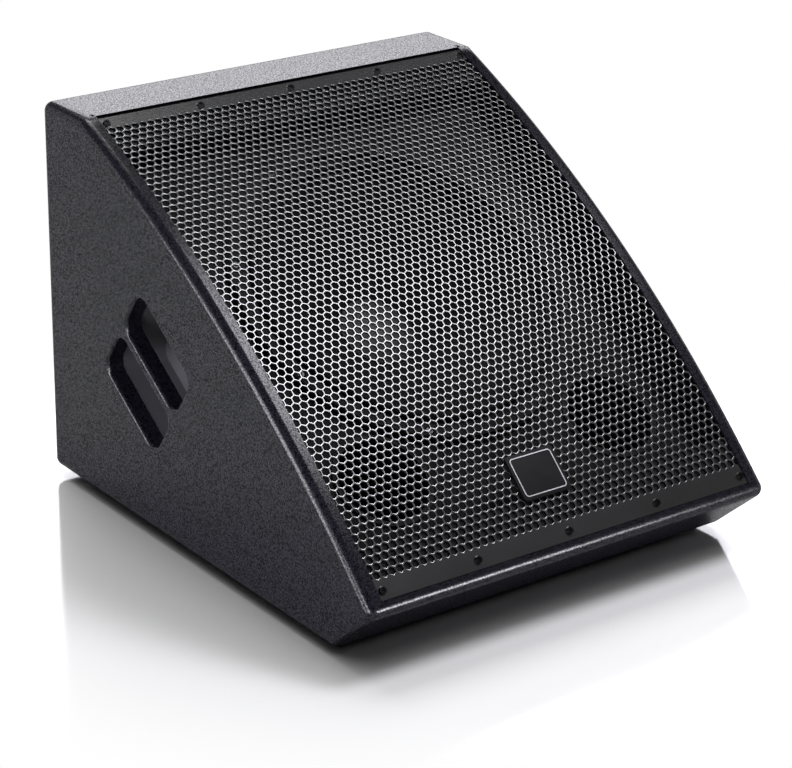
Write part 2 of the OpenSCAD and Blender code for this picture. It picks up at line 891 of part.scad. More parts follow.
module handle_cup_left() {
    color("#38383b") mirror([1, 0, 0]) right_cup();
}

// Ports

module port_tube(side) {
    at_chord(port_u, baffle_in, side * port_x) {
        tube(port_r + port_t, port_r, -port_l, port_lip_t);
        tube(port_r + port_t + port_lip_w, port_r, 0, port_lip_t);
    }
}

module port_tube_left() {
    color("#161618") port_tube(-1);
}

module port_tube_right() {
    color("#161618") port_tube(1);
}

// Feet

module foot_screw_places() {
    for (x = foot_xs, y = foot_ys) translate([x, y, foot_bore_l]) mirror([0, 0, 1]) children();
}

module rubber_foot(x, y) {
    color("#141414") translate([x, y, 0]) difference() {
        cylinder(r1 = foot_low_r, r2 = foot_r, h = foot_h);
        translate([0, 0, -over]) cylinder(r = foot_shank_r + fit, h = foot_h + 2 * over);
        translate([0, 0, -over]) cylinder(r = foot_bore_r, h = foot_bore_l + over);
    }
}

module foot_back_left() {
    rubber_foot(foot_xs[0], foot_ys[0]);
}

module foot_back_right() {
    rubber_foot(foot_xs[1], foot_ys[0]);
}

module foot_front_left() {
    rubber_foot(foot_xs[0], foot_ys[1]);
}

module foot_front_right() {
    rubber_foot(foot_xs[1], foot_ys[1]);
}

module foot_screws() {
    color("#77777a") foot_screw_places()
        cross_screw(foot_head_r, foot_head_h, foot_shank_r, foot_shank_l);
}

// Coaxial driver

module frame_screw_places() {
    for (i = [0 : frame_screw_count - 1]) rotate((i + 0.5) * 360 / frame_screw_count)
        translate([frame_pcd_r, 0, rim_t]) children();
}

module woofer_frame() {
    low_in_r = basket_low_r - basket_t;
    seat_top = spider_z - spider_t;
    foot_in_r = plate_r - frame_foot_w;
    bend_z = neck_z - basket_bend;
    rim_part = [
        [frame_r, 0], [frame_r, rim_t], [glue_r + fit, rim_t], [glue_r + fit, shelf_z],
        [shelf_r, shelf_z], [shelf_r, -basket_t]
    ];
    seat_part = [
        [low_in_r, bend_z], [low_in_r, seat_top], [spider_seat_r, seat_top], [spider_seat_r, ring_z],
        [low_in_r, ring_z], [low_in_r, frame_end + basket_t]
    ];
    foot_part = [
        [foot_in_r, frame_end + basket_t], [foot_in_r, frame_end], [basket_low_r, frame_end],
        [basket_low_r, bend_z - basket_t / 2], [basket_r, -2 * basket_t], [basket_r, 0]
    ];
    color("#2e2f31") at_driver() difference() {
        rotate_extrude($fn = 180) polygon(concat(rim_part, seat_part, foot_part));
        for (i = [0 : window_count - 1]) rotate(i * 360 / window_count)
            translate([spider_r, -window_w / 2, neck_z])
                cube([basket_r, window_w, cone_depth - window_top]);
        frame_screw_places() screw_hole(frame_shank_r, 2 * rim_t);
    }
}

module woofer_gasket() {
    color("#1a1a1a") at_driver() difference() {
        tube(gasket_out_r, gasket_in_r, rim_t, rim_t + gasket_t);
        frame_screw_places() translate([0, 0, -over])
            cylinder(r = frame_head_r + gasket_gap, h = gasket_t + 2 * over);
    }
}

// Half roll between the cone's rim and the frame's shelf
module woofer_surround() {
    t = 1;
    lap = 3;
    step = 15;
    in_r = cone_r - lap;
    top = shelf_z + t;
    roll_c = (cone_r + roll_end_r) / 2;
    roll_r = roll_w / 2;
    rise = roll_h - t;
    arc = [for (a = [180 : -step : 0]) [roll_c + roll_r * cos(a), top + rise * sin(a)]];
    under = [for (a = [0 : step : 180]) [roll_c + (roll_r - t) * cos(a), shelf_z + rise * sin(a)]];
    inner = [[in_r, shelf_z], [in_r, top]];
    outer = [[glue_r, top], [glue_r, shelf_z]];
    color("#171717") at_driver() rotate_extrude($fn = 180) polygon(concat(inner, arc, outer, under));
}

module woofer_cone() {
    neck_r = coil_r + fit;
    rim_z = shelf_z - fit;
    color("#232325") at_driver() rotate_extrude($fn = 180) polygon([
        [neck_r, neck_z], [neck_r, neck_z + cone_t], [cone_r - 2 * cone_t, rim_z], [cone_r, rim_z]
    ]);
}

module dust_screen() {
    t = 0.8;
    color("#9a9a9c") at_driver() translate([0, 0, neck_z]) dome(coil_r - former_t - fit, dome_h, t);
}

// Thin dome on the plane z = 0
module dome(r, h, t) {
    ball_r = (r * r + h * h) / (2 * h);
    difference() {
        intersection() {
            translate([0, 0, h - ball_r]) sphere(r = ball_r);
            cylinder(r = r, h = h + over);
        }
        translate([0, 0, h - ball_r]) sphere(r = ball_r - t);
    }
}

module voice_coil() {
    low = neck_z - coil_l;
    color("#a8703a") at_driver() {
        tube(coil_r, coil_r - former_t, low, neck_z + cone_t);
        translate([0, 0, low + winding_up]) tube(coil_r + winding_t, coil_r - former_t, 0, winding_h);
    }
}

// Corrugated disc that centres the coil
module spider() {
    in_r = coil_r + run_gap;
    span = spider_seat_r - in_r;
    waves = 4;
    wave_h = 1.2;
    steps = 8 * waves;
    function level(r) = spider_z + wave_h * sin(360 * waves * (r - in_r) / span);
    rs = [for (i = [0 : steps]) in_r + span * i / steps];
    upper = [for (r = rs) [r, level(r)]];
    lower = [for (i = [steps : -1 : 0]) [rs[i], level(rs[i]) - spider_t]];
    color("#b08a4a") at_driver() rotate_extrude($fn = 120)
        polygon(concat(upper, [[spider_r, spider_z], [spider_r, spider_z - spider_t]], lower));
}

module top_plate() {
    color("#8a8c90") at_driver() tube(plate_r, plate_bore_r, plate_end, frame_end);
}

module woofer_magnet() {
    color("#2f2f33") at_driver() tube(magnet_r, magnet_bore_r, magnet_end, plate_end);
}

// Back plate and pole in one, with the high-frequency throat through them
module pole_plate() {
    color("#8a8c90") at_driver() rotate_extrude() polygon([
        [throat_r, yoke_end], [plate_r, yoke_end], [plate_r, magnet_end], [pole_r, magnet_end],
        [pole_r, frame_end], [throat_r + throat_flare, frame_end]
    ]);
}

module woofer_screws() {
    color("#1c1c1e") at_driver() frame_screw_places()
        cross_screw(frame_head_r, frame_head_h, frame_shank_r, frame_shank_l);
}

// Motor with a throat that opens into a ring seat for the diaphragm
module hf_motor() {
    seat_r = diaphragm_rim_r + 1;
    color("#46484c") at_driver() rotate_extrude() polygon([
        [throat_r, yoke_end], [hf_r, yoke_end], [hf_r, motor_end], [seat_r, motor_end],
        [seat_r, motor_end + hf_cavity], [throat_r - throat_taper, motor_end + hf_cavity]
    ]);
}

module hf_diaphragm() {
    rim_top = motor_end + hf_cavity - diaphragm_gap;
    color("#c8c8cc") at_driver() {
        tube(diaphragm_rim_r, diaphragm_r - diaphragm_t, rim_top - diaphragm_t, rim_top);
        translate([0, 0, rim_top]) mirror([0, 0, 1]) dome(diaphragm_r, diaphragm_h, diaphragm_t);
    }
}

// Cover that closes over the edge of the diaphragm's rim
module hf_cover() {
    end = motor_end - hf_cover_h;
    cavity_r = diaphragm_r + 2;
    color("#26272a") at_driver() rotate_extrude() polygon([
        [0, end], [hf_r - hf_cover_bevel, end], [hf_r, end + hf_cover_bevel], [hf_r, motor_end],
        [cavity_r, motor_end], [cavity_r, end + hf_cover_t], [0, end + hf_cover_t]
    ]);
}

// Rear plate

module amp_battens() {
    long = amp_w + 2 * (amp_batten_w - amp_rest);
    tall = amp_h - 2 * amp_rest;
    deep = -amp_t - amp_batten_t;
    color("#242426") at_rear() difference() {
        for (s = [-1, 1]) {
            translate([0, s * (tall + amp_batten_w) / 2, 0]) block(long, amp_batten_w, deep, -amp_t);
            translate([s * (long - amp_batten_w) / 2, 0, 0]) block(amp_batten_w, tall, deep, -amp_t);
        }
        plate_screw_places() screw_hole(plate_shank_r, plate_shank_l + fit);
    }
}

module plate_screw_places() {
    mx = amp_w / 2 - plate_screw_in;
    my = amp_h / 2 - plate_screw_in;
    for (x = [-mx, 0, mx], y = [-my, my]) translate([x, y, 0]) children();
    for (x = [-mx, mx]) translate([x, 0, 0]) children();
}

module plate_hole(x, y, r) {
    translate([x, y, -over]) cylinder(r = r, h = 2 * over);
}

module plate_window(x, y, w, h) {
    translate([x, y, 0]) block(w, h, -over, over);
}

module amp_plate() {
    color("#2a2a2c") at_rear() difference() {
        block(amp_w, amp_h, -amp_t, 0);
        plate_screw_places() screw_hole(plate_shank_r, 2 * over);
        for (x = [input_x, link_x]) plate_hole(x, control_y, socket_r + fit);
        plate_window(input_x, control_y + latch_y, latch_slot_w, latch_slot_h);
        for (x = knob_xs) plate_hole(x, control_y, bush_r + fit);
        plate_window(inlet_x, power_y, inlet_body_w + 2 * fit, inlet_body_h + 2 * fit);
        plate_window(switch_x, power_y, switch_body_w + 2 * fit, switch_body_l + 2 * fit);
        plate_hole(light_x, power_y, light_r + fit);
        plate_window(lift_x, power_y, lift_slot_w, lift_slot_h);
    }
}

module amp_screws() {
    color("#1c1c1e") at_rear() plate_screw_places()
        cross_screw(plate_head_r, plate_head_h, plate_shank_r, plate_shank_l);
}

module heat_sink() {
    pitch = (sink_w - fin_t) / (fin_count - 1);
    color("#303134") at_rear(0, sink_y) {
        block(sink_w, sink_h, 0, sink_base);
        for (i = [0 : fin_count - 1]) translate([i * pitch - (sink_w - fin_t) / 2, 0, 0])
            block(fin_t, sink_h, 0, sink_base + fin_l);
    }
}

module spacer_places() {
    mx = board_w / 2 - spacer_in;
    my = board_h / 2 - spacer_in;
    for (x = [-mx, mx], y = [-my, my]) at_rear(board_x + x, board_y + y, board_front) children();
}

module board_spacers() {
    color("#b8a060") spacer_places() cylinder(r = spacer_r, h = spacer_l);
}

module amp_board() {
    color("#1d4a2c") at_rear(board_x, board_y) block(board_w, board_h, board_back, board_front);
}

module capacitors() {
    step = cap_r + cap_gap / 2;
    color("#1c2a4a") for (x = [-step, step])
        at_rear(board_x + x, board_y, board_back - cap_h) cylinder(r = cap_r, h = cap_h);
}

module mains_transformer() {
    color("#3d3226") at_rear(coil_core_x, coil_core_y)
        tube(coil_core_r, coil_core_bore, -amp_t - coil_core_h, -amp_t);
}

module transformer_clamp() {
    end = -amp_t - coil_core_h;
    color("#9a9ca0") at_rear(coil_core_x, coil_core_y) {
        translate([0, 0, end - clamp_t]) cylinder(r = clamp_r, h = clamp_t);
        translate([0, 0, end - clamp_t - clamp_nut_h]) cylinder(r = clamp_nut_r, h = clamp_nut_h, $fn = 6);
        translate([0, 0, end]) cylinder(r = clamp_bolt_r, h = coil_core_h);
    }
}

// Point and direction on a curve between two ends that each have a handle
function curve_at(p, t) = pow(1 - t, 3) * p[0] + 3 * t * pow(1 - t, 2) * p[1]
    + 3 * t * t * (1 - t) * p[2] + pow(t, 3) * p[3];
function curve_dir(p, t) = let(
    d = pow(1 - t, 2) * (p[1] - p[0]) + 2 * t * (1 - t) * (p[2] - p[1]) + t * t * (p[3] - p[2])
) d / norm(d);

// Round lead from the driver's side, at a radius and level on its axis, to the circuit board's back
module driver_lead(x, r, z) {
    seat_r = sqrt(r * r - pow(max(abs(x) - lead_r, 0), 2)) + fit;
    start = behind_chord(driver_u - seat_r, baffle_in - z);
    end = [panel_t - amp_t - board_back + fit, base_z + amp_up + board_y - board_h / 2 + lead_up];
    path = [for (p = [start, start - lead_bend * down, end + [lead_bend, 0], end]) yz(p)];
    rings = [
        for (i = [0 : lead_steps], k = [0 : lead_sides - 1])
            let(t = i / lead_steps, a = 360 * k / lead_sides, c = curve_at(path, t), d = curve_dir(path, t))
            [x + lead_r * cos(a), c[0] - lead_r * sin(a) * d[1], c[1] + lead_r * sin(a) * d[0]]
    ];
    function ring_point(i, k) = i * lead_sides + k % lead_sides;
    caps = [
        [for (k = [lead_sides - 1 : -1 : 0]) k],
        [for (k = [0 : lead_sides - 1]) ring_point(lead_steps, k)]
    ];
    upper = [
        for (i = [0 : lead_steps - 1], k = [0 : lead_sides - 1])
            [ring_point(i, k), ring_point(i, k + 1), ring_point(i + 1, k + 1)]
    ];
    lower = [
        for (i = [0 : lead_steps - 1], k = [0 : lead_sides - 1])
            [ring_point(i, k), ring_point(i + 1, k + 1), ring_point(i + 1, k)]
    ];
    polyhedron(rings, concat(caps, upper, lower));
}

module woofer_lead() {
    color("#7a1f1c") driver_lead(woofer_lead_x, basket_low_r, (neck_z - basket_bend + frame_end) / 2);
}

module hf_lead() {
    color("#1f3a6b") driver_lead(hf_lead_x, hf_r, motor_end - (hf_cover_h - hf_cover_bevel) / 2);
}

// Square flange and round barrel of a cable socket, with its bore
module socket_body() {
    difference() {
        union() {
            linear_extrude(socket_flange_t) round_rect(socket_w, socket_h, socket_corner_r);
            translate([0, 0, -socket_l]) cylinder(r = socket_r, h = socket_l);
        }
        translate([0, 0, groove_end]) cylinder(r = groove_r, h = groove_l + over);
    }
}

module contact_places() {
    for (a = [30, 150, 270]) rotate(a) translate([pin_ring_r, 0, 0]) children();
}

module input_socket() {
    color("#1b1b1d") at_rear(input_x, control_y) difference() {
        socket_body();
        translate([0, latch_y, 0]) block(latch_slot_w, latch_slot_h, latch_slot_end, over);
    }
}

// Core of the input socket, with its three contacts
module input_insert() {
    color("#232325") at_rear(input_x, control_y) translate([0, 0, groove_end]) difference() {
        cylinder(r = core_r, h = groove_l);
        contact_places() translate([0, 0, contact_floor]) cylinder(r = contact_r, h = groove_l);
    }
}

module input_latch() {
    color("#8d8f93") at_rear(input_x, control_y + latch_y)
        block(latch_w, latch_h, -latch_l, socket_flange_t + latch_proud);
}

module link_socket() {
    color("#1b1b1d") at_rear(link_x, control_y) {
        socket_body();
        contact_places() translate([0, 0, groove_end - pin_root])
            cylinder(r = pin_r, h = groove_l + pin_root - pin_in);
    }
}

module potentiometers() {
    color("#6f7276") for (x = knob_xs) at_rear(x, control_y) difference() {
        union() {
            block(pot_size, pot_size, -amp_t - pot_l, -amp_t);
            translate([0, 0, -amp_t]) cylinder(r = bush_r, h = amp_t + bush_h);
        }
        translate([0, 0, pot_end]) cylinder(r = spindle_r + run_gap, h = pot_l + amp_t + over);
    }
}

// Knob on its spindle, with grip flutes and a pointer line
module control_knob(x) {
    taper = 0.88;
    spindle_end = pot_end + run_gap;
    at_rear(x, control_y) {
        translate([0, 0, knob_lift]) difference() {
            cylinder(r1 = knob_r, r2 = knob_r * taper, h = knob_h);
            for (i = [0 : flute_count - 1]) rotate(i * 360 / flute_count)
                translate([knob_r + flute_out, 0, -over]) cylinder(r = flute_r, h = knob_h + 2 * over);
            translate([0, knob_r / 2, 0]) block(pointer_w, knob_r, knob_h - pointer_t, knob_h + over);
        }
        translate([0, 0, spindle_end]) cylinder(r = spindle_r, h = knob_lift - spindle_end);
    }
}

module level_knob() {
    color("#222224") control_knob(knob_xs[0]);
}

module low_knob() {
    color("#222224") control_knob(knob_xs[1]);
}

module high_knob() {
    color("#222224") control_knob(knob_xs[2]);
}

module mains_inlet() {
    deep = inlet_flange_t - inlet_in_l;
    color("#151517") at_rear(inlet_x, power_y) {
        difference() {
            union() {
                linear_extrude(inlet_flange_t) round_rect(inlet_w, inlet_h, inlet_corner_r);
                block(inlet_body_w, inlet_body_h, -inlet_l, 0);
            }
            block(inlet_in_w, inlet_in_h, deep, inlet_flange_t + over);
        }
        for (p = [[-blade_x, blade_y], [0, -blade_y], [blade_x, blade_y]])
            translate(p) block(blade_t, blade_w, deep - pin_root, deep + blade_l);
    }
}

module power_switch() {
    color("#1a1a1c") at_rear(switch_x, power_y) difference() {
        union() {
            block(switch_w, switch_l, 0, bezel_t);
            block(switch_body_w, switch_body_l, -switch_deep, 0);
        }
        block(switch_w - 2 * bezel_w, switch_l - 2 * bezel_w, switch_floor - switch_deep, bezel_t + over);
        translate([0, 0, rocker_pivot]) rotate([0, 90, 0])
            cylinder(r = rocker_pin_r + slide_gap, h = rocker_pin_l, center = true);
    }
}

// Rocker with a bent face, on a pin that turns in the switch's walls
module power_rocker() {
    lean = rocker_turn / 2;
    tip = rocker_mid + rocker_r * tan(lean);
    profile = [
        [-rocker_r, rocker_low], [rocker_r, rocker_low], [rocker_r, tip], [0, rocker_mid], [-rocker_r, tip]
    ];
    color("#232326") at_rear(switch_x, power_y, rocker_pivot) {
        rotate([lean, 0, 0]) intersection() {
            rotate([0, 90, 0]) cylinder(r = rocker_r, h = rocker_w, center = true);
            rotate([90, 0, 90]) linear_extrude(rocker_w, center = true) polygon(profile);
        }
        rotate([0, 90, 0]) cylinder(r = rocker_pin_r, h = rocker_pin_l - 2 * slide_gap, center = true);
    }
}

module status_light() {
    color("#3fae4a") at_rear(light_x, power_y) {
        translate([0, 0, -amp_t - light_l]) cylinder(r = light_r, h = amp_t + light_l);
        intersection() {
            sphere(r = light_r);
            cylinder(r = light_r, h = light_r);
        }
    }
}

module lift_switch() {
    color("#4a4c50") at_rear(lift_x, power_y) difference() {
        block(lift_w, lift_h, -amp_t - lift_l, -amp_t);
        block(lift_slot_w, lift_slot_h, -amp_t - lift_knob_in, over);
    }
}

module lift_slider() {
    color("#d8d8da") at_rear(lift_x - lift_travel / 2, power_y)
        block(lift_knob_w, lift_knob_h, slide_gap - amp_t - lift_knob_in, lift_knob_out);
}

side_panel_left();
side_panel_right();
top_panel();
back_panel();
bottom_panel();
kick_panel();
baffle();
top_batten();
bottom_batten();
grille();
grille_screws();
badge_plate();
handle_cup_left();
handle_cup_right();
port_tube_left();
port_tube_right();
foot_back_left();
foot_back_right();
foot_front_left();
foot_front_right();
foot_screws();
woofer_frame();
woofer_gasket();
woofer_surround();
woofer_cone();
dust_screen();
voice_coil();
spider();
top_plate();
woofer_magnet();
pole_plate();
woofer_screws();
hf_motor();
hf_diaphragm();
hf_cover();
amp_battens();
amp_plate();
amp_screws();
heat_sink();
amp_board();
board_spacers();
capacitors();
mains_transformer();
transformer_clamp();
woofer_lead();
hf_lead();
input_socket();
input_insert();
input_latch();
link_socket();
potentiometers();
level_knob();
low_knob();
high_knob();
mains_inlet();
power_switch();
power_rocker();
status_light();
lift_switch();
lift_slider();
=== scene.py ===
import json
import math

import bpy
from mathutils import Matrix, Vector


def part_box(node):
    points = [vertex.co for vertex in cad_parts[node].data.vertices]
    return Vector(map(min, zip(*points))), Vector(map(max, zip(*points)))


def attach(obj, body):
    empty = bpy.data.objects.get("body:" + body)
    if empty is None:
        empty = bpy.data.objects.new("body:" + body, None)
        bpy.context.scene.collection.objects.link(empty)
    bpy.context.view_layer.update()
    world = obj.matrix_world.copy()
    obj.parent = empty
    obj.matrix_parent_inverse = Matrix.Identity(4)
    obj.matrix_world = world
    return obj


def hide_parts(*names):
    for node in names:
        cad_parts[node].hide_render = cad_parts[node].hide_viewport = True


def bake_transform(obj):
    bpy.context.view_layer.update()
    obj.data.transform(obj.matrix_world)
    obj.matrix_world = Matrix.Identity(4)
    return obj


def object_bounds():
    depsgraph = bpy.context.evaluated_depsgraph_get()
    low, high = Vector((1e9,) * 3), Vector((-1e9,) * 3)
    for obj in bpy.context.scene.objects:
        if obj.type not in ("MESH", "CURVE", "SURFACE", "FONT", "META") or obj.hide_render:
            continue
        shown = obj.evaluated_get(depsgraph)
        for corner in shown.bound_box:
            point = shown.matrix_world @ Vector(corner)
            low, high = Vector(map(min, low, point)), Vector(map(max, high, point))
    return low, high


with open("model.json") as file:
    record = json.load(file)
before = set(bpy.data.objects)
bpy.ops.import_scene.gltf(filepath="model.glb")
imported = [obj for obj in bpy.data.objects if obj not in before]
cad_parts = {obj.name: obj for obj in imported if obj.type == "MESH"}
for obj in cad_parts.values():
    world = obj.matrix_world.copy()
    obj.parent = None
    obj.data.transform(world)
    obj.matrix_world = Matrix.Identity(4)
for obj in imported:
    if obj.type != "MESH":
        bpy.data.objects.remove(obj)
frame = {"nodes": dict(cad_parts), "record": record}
cad_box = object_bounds()

# Sizes shared with the solids, in metres
MM = 0.001
CAB_W = 408 * MM
CAB_H = 334 * MM
FOOT_H = 8 * MM
TOP_D = 64.3 * MM
NOSE_D = 477.8 * MM
NOSE_H = 47 * MM
BOTTOM_D = 424.8 * MM
FRONT_BOW = 24.5 * MM
PANEL_T = 15 * MM
EDGE_R = 8 * MM
LIP_W = 11.5 * MM
POCKET_DEEP = 2.7 * MM
POCKET_TOP = -0.5 * MM
LOW_LIP_H = 11.2 * MM
GRILLE_W = 380 * MM
GRILLE_T = 1.5 * MM
GRILLE_RECESS = 1 * MM
GRILLE_TOP = 3 * MM
GRILLE_LOW = 12.2 * MM
BADGE_W = 48 * MM
BADGE_H = 40 * MM
BADGE_T = 2.4 * MM
BADGE_R = 3 * MM
BADGE_X = -4 * MM
BADGE_UP = 60 * MM
HANDLE_U = 189.3 * MM
HANDLE_IN = 104.8 * MM
SLOT_L = 93 * MM
SLOT_W = 45 * MM
SLOT_PITCH = 55.2 * MM
SLOT_R = 12 * MM
SLOT_EDGE_R = 3.2 * MM
BAFFLE_IN = 18 * MM
DRIVER_U = 221 * MM
CONE_R = 127 * MM
CONE_DEPTH = 60 * MM
CONE_T = 1.2 * MM
COIL_R = 32 * MM
DOME_H = 7 * MM
SHELF_Z = 2 * MM
ROLL_W = 9 * MM
ROLL_H = 7 * MM
GLUE_W = 6 * MM
SURROUND_T = 1 * MM
SPIDER_Z = -74 * MM
SPIDER_T = 1.2 * MM
SPIDER_R = 70 * MM
SPIDER_SEAT_R = 60 * MM

# Hexagonal holes of the grille
HOLE_PITCH = 7.43 * MM
ROW_STEP = 6.5 * MM
HOLE_WEB = 1.6 * MM
HOLE_ROUND = 0.25 * MM
HOLE_ROWS = 71
FIRST_ROW = 16 * MM
LATTICE_X = 2.57 * MM
MARGIN_ROWS = 3

# Photograph's camera
CAMERA_PLACE = Vector((-1.30588, -1.73801, 1.01854))
CAMERA_RIGHT = Vector((0.80385, -0.59468, 0.01374))
CAMERA_UP = Vector((0.21761, 0.3155, 0.92365))
CAMERA_LENS = 126.18
SENSOR_W = 36.0
VIEW_REACH = 50.0

# Stage: the wall round it, the world's light and the lamps' colours
WALL_R = 4.0
WALL_H = 2.2
ROUND_SIDES = 96
WORLD_LEVEL = 0.12
COOL = (0.94, 0.935, 1.0)
WHITE = (1, 1, 1)

# Points closer than the gap are merged, and edges of turned pieces stay sharp past the crease, in degrees
MERGE_GAP = 0.02 * MM
CURVE_CREASE = 50

# Side outline and bowed front: its radius, centre and length
back_y = cad_box[1].y
top_z = FOOT_H + CAB_H
top_edge = Vector((0, back_y - TOP_D, top_z))
nose_edge = Vector((0, back_y - NOSE_D, FOOT_H + NOSE_H))
heel_edge = Vector((0, back_y - BOTTOM_D, FOOT_H))
chord = nose_edge - top_edge
slope = math.atan2(-chord.z, -chord.y)
down = chord.normalized()
outward = Vector((0, -math.sin(slope), math.cos(slope)))
front_r = (chord.length ** 2 / 4 + FRONT_BOW ** 2) / (2 * FRONT_BOW)
front_c = (top_edge + nose_edge) / 2 + outward * (FRONT_BOW - front_r)
half_turn = math.asin(chord.length / 2 / front_r)
front_len = 2 * front_r * half_turn
grille_face_r = front_r - GRILLE_RECESS
grille_len = front_len - GRILLE_LOW - GRILLE_TOP
kick_dir = (nose_edge - heel_edge).normalized()
kick_out = Vector((0, -kick_dir.z, kick_dir.y))
handle_c = top_edge + HANDLE_U * down - HANDLE_IN * outward
driver_c = top_edge + DRIVER_U * down - BAFFLE_IN * outward


# Modelling by hand, in short

def deselect():
    if bpy.context.object and bpy.context.object.mode != "OBJECT":
        bpy.ops.object.mode_set(mode="OBJECT")
    bpy.ops.object.select_all(action="DESELECT")


def pick(piece):
    deselect()
    piece.select_set(True)
    bpy.context.view_layer.objects.active = piece


def edit_all(piece, mode="FACE"):
    pick(piece)
    bpy.ops.object.mode_set(mode="EDIT")
    bpy.ops.mesh.select_mode(type=mode)
    bpy.ops.mesh.select_all(action="SELECT")


def leave_edit():
    bpy.ops.object.mode_set(mode="OBJECT")


def select_by(piece, kind, test):
    """Selects the faces or edges of a piece in edit mode that pass a test."""
    bpy.ops.mesh.select_mode(type=kind)
    bpy.ops.mesh.select_all(action="DESELECT")
    leave_edit()
    items = piece.data.polygons if kind == "FACE" else piece.data.edges
    for item in items:
        item.select = test(item)
    bpy.ops.object.mode_set(mode="EDIT")


def ends(piece, edge):
    return [piece.data.vertices[i].co for i in edge.vertices]


def named(piece, name):
    piece.name = name
    piece.data.name = name
    return piece


def added(name):
    return named(bpy.context.object, name)


def use(piece, kind, **values):
    """Adds a modifier, sets its values and applies it."""
    pick(piece)
    modifier = piece.modifiers.new(kind.title(), kind)
    for key, value in values.items():
        setattr(modifier, key, value)
    bpy.ops.object.modifier_apply(modifier=modifier.name)


def settle(piece, place=None, turn=None):
    """Puts a piece in its place and leaves its object at the origin."""
    pick(piece)
    if turn is not None:
        piece.rotation_euler = turn
    if place is not None:
        piece.location = place
    bpy.ops.object.transform_apply(location=True, rotation=True, scale=True)
    return piece


def join(pieces, name):
    pick(pieces[0])
    for piece in pieces[1:]:
        piece.select_set(True)
    bpy.ops.object.join()
    return named(bpy.context.object, name)


def merge(piece):
    edit_all(piece, "VERT")
    bpy.ops.mesh.remove_doubles(threshold=MERGE_GAP)
    leave_edit()


def face_outwards(piece):
    edit_all(piece)
    bpy.ops.mesh.normals_make_consistent(inside=False)
    leave_edit()


def cut(piece, tool):
    use(piece, "BOOLEAN", object=tool, operation="DIFFERENCE", solver="EXACT")
    bpy.data.objects.remove(tool)


def smooth(piece, degrees=35):
    pick(piece)
    bpy.ops.object.shade_smooth_by_angle(angle=math.radians(degrees))


def paint(piece, finish):
    piece.data.materials.clear()
    piece.data.materials.append(finishes[finish])


def dress(piece, body, slot, finish=None, replaced=()):
    """Paints a piece with its slot's finish, or another one, gives it its body and hides the parts it
    replaces.
    """
    paint(piece, finish or slot)
    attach(piece, body)
    if replaced:
        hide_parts(*replaced)
    return piece


def drawn(name, points):
    """Line through points, drawn by extruding one vertex, left in edit mode."""
    deselect()
    bpy.ops.mesh.primitive_plane_add(size=MM)
    piece = added(name)
    edit_all(piece, "VERT")
    bpy.ops.mesh.merge(type="CENTER")
    bpy.ops.transform.translate(value=points[0])
    for start, end in zip(points, points[1:]):
        bpy.ops.mesh.extrude_region_move(TRANSFORM_OT_translate={"value": end - start})
    bpy.ops.mesh.select_all(action="SELECT")
    return piece


def rounded_plate(name, w, h, t, r, steps=6):
    """Plate on the plane z = 0 with rounded corners."""
    deselect()
    bpy.ops.mesh.primitive_cube_add(size=1, location=(0, 0, t / 2), scale=(w, h, t))
    plate = settle(added(name))
    edit_all(plate, "EDGE")
    select_by(plate, "EDGE", lambda e: abs(ends(plate, e)[0].z - ends(plate, e)[1].z) > t / 2)
    bpy.ops.mesh.bevel(offset=r, segments=steps, affect="EDGES")
    leave_edit()
    return plate


def front_point(s, r):
    """Point at a length from the front's top edge and a radius from its centre."""
    turn = s / front_r - half_turn
    return front_c + r * (math.sin(turn) * down + math.cos(turn) * outward)


def front_tilt(s):
    return slope + s / front_r - half_turn


def on_front(piece, s, x, lift):
    """Lays a piece on the grille, lifted off its face."""
    place = front_point(s, grille_face_r + lift) + Vector((x, 0, 0))
    settle(piece, place, (front_tilt(s), 0, 0))


# Shader node groups and materials

def math_node(tree, operation, kind="ShaderNodeMath"):
    node = tree.nodes.new(kind)
    node.operation = operation
    return node


def noise_node(tree, detail, rough, scale=1.0):
    node = tree.nodes.new("ShaderNodeTexNoise")
    node.inputs["Scale"].default_value = scale
    node.inputs["Detail"].default_value = detail
    node.inputs["Roughness"].default_value = rough
    return node


def spanned(tree, value, source, target):
    """Value mapped from one range to another."""
    span = tree.nodes.new("ShaderNodeMapRange")
    tree.links.new(value, span.inputs["Value"])
    for label, level in zip(("From Min", "From Max", "To Min", "To Max"), (*source, *target)):
        span.inputs[label].default_value = level
    return span.outputs["Result"]


def new_group(name, outputs):
    """Node group with one input, the scale of its grain."""
    tree = bpy.data.node_groups.new(name, "ShaderNodeTree")
    tree.interface.new_socket("Grains per metre", in_out="INPUT", socket_type="NodeSocketFloat")
    for label in outputs:
        tree.interface.new_socket(label, in_out="OUTPUT", socket_type="NodeSocketFloat")
    entry = tree.nodes.new("NodeGroupInput")
    result = tree.nodes.new("NodeGroupOutput")
    return tree, entry.outputs["Grains per metre"], result.inputs


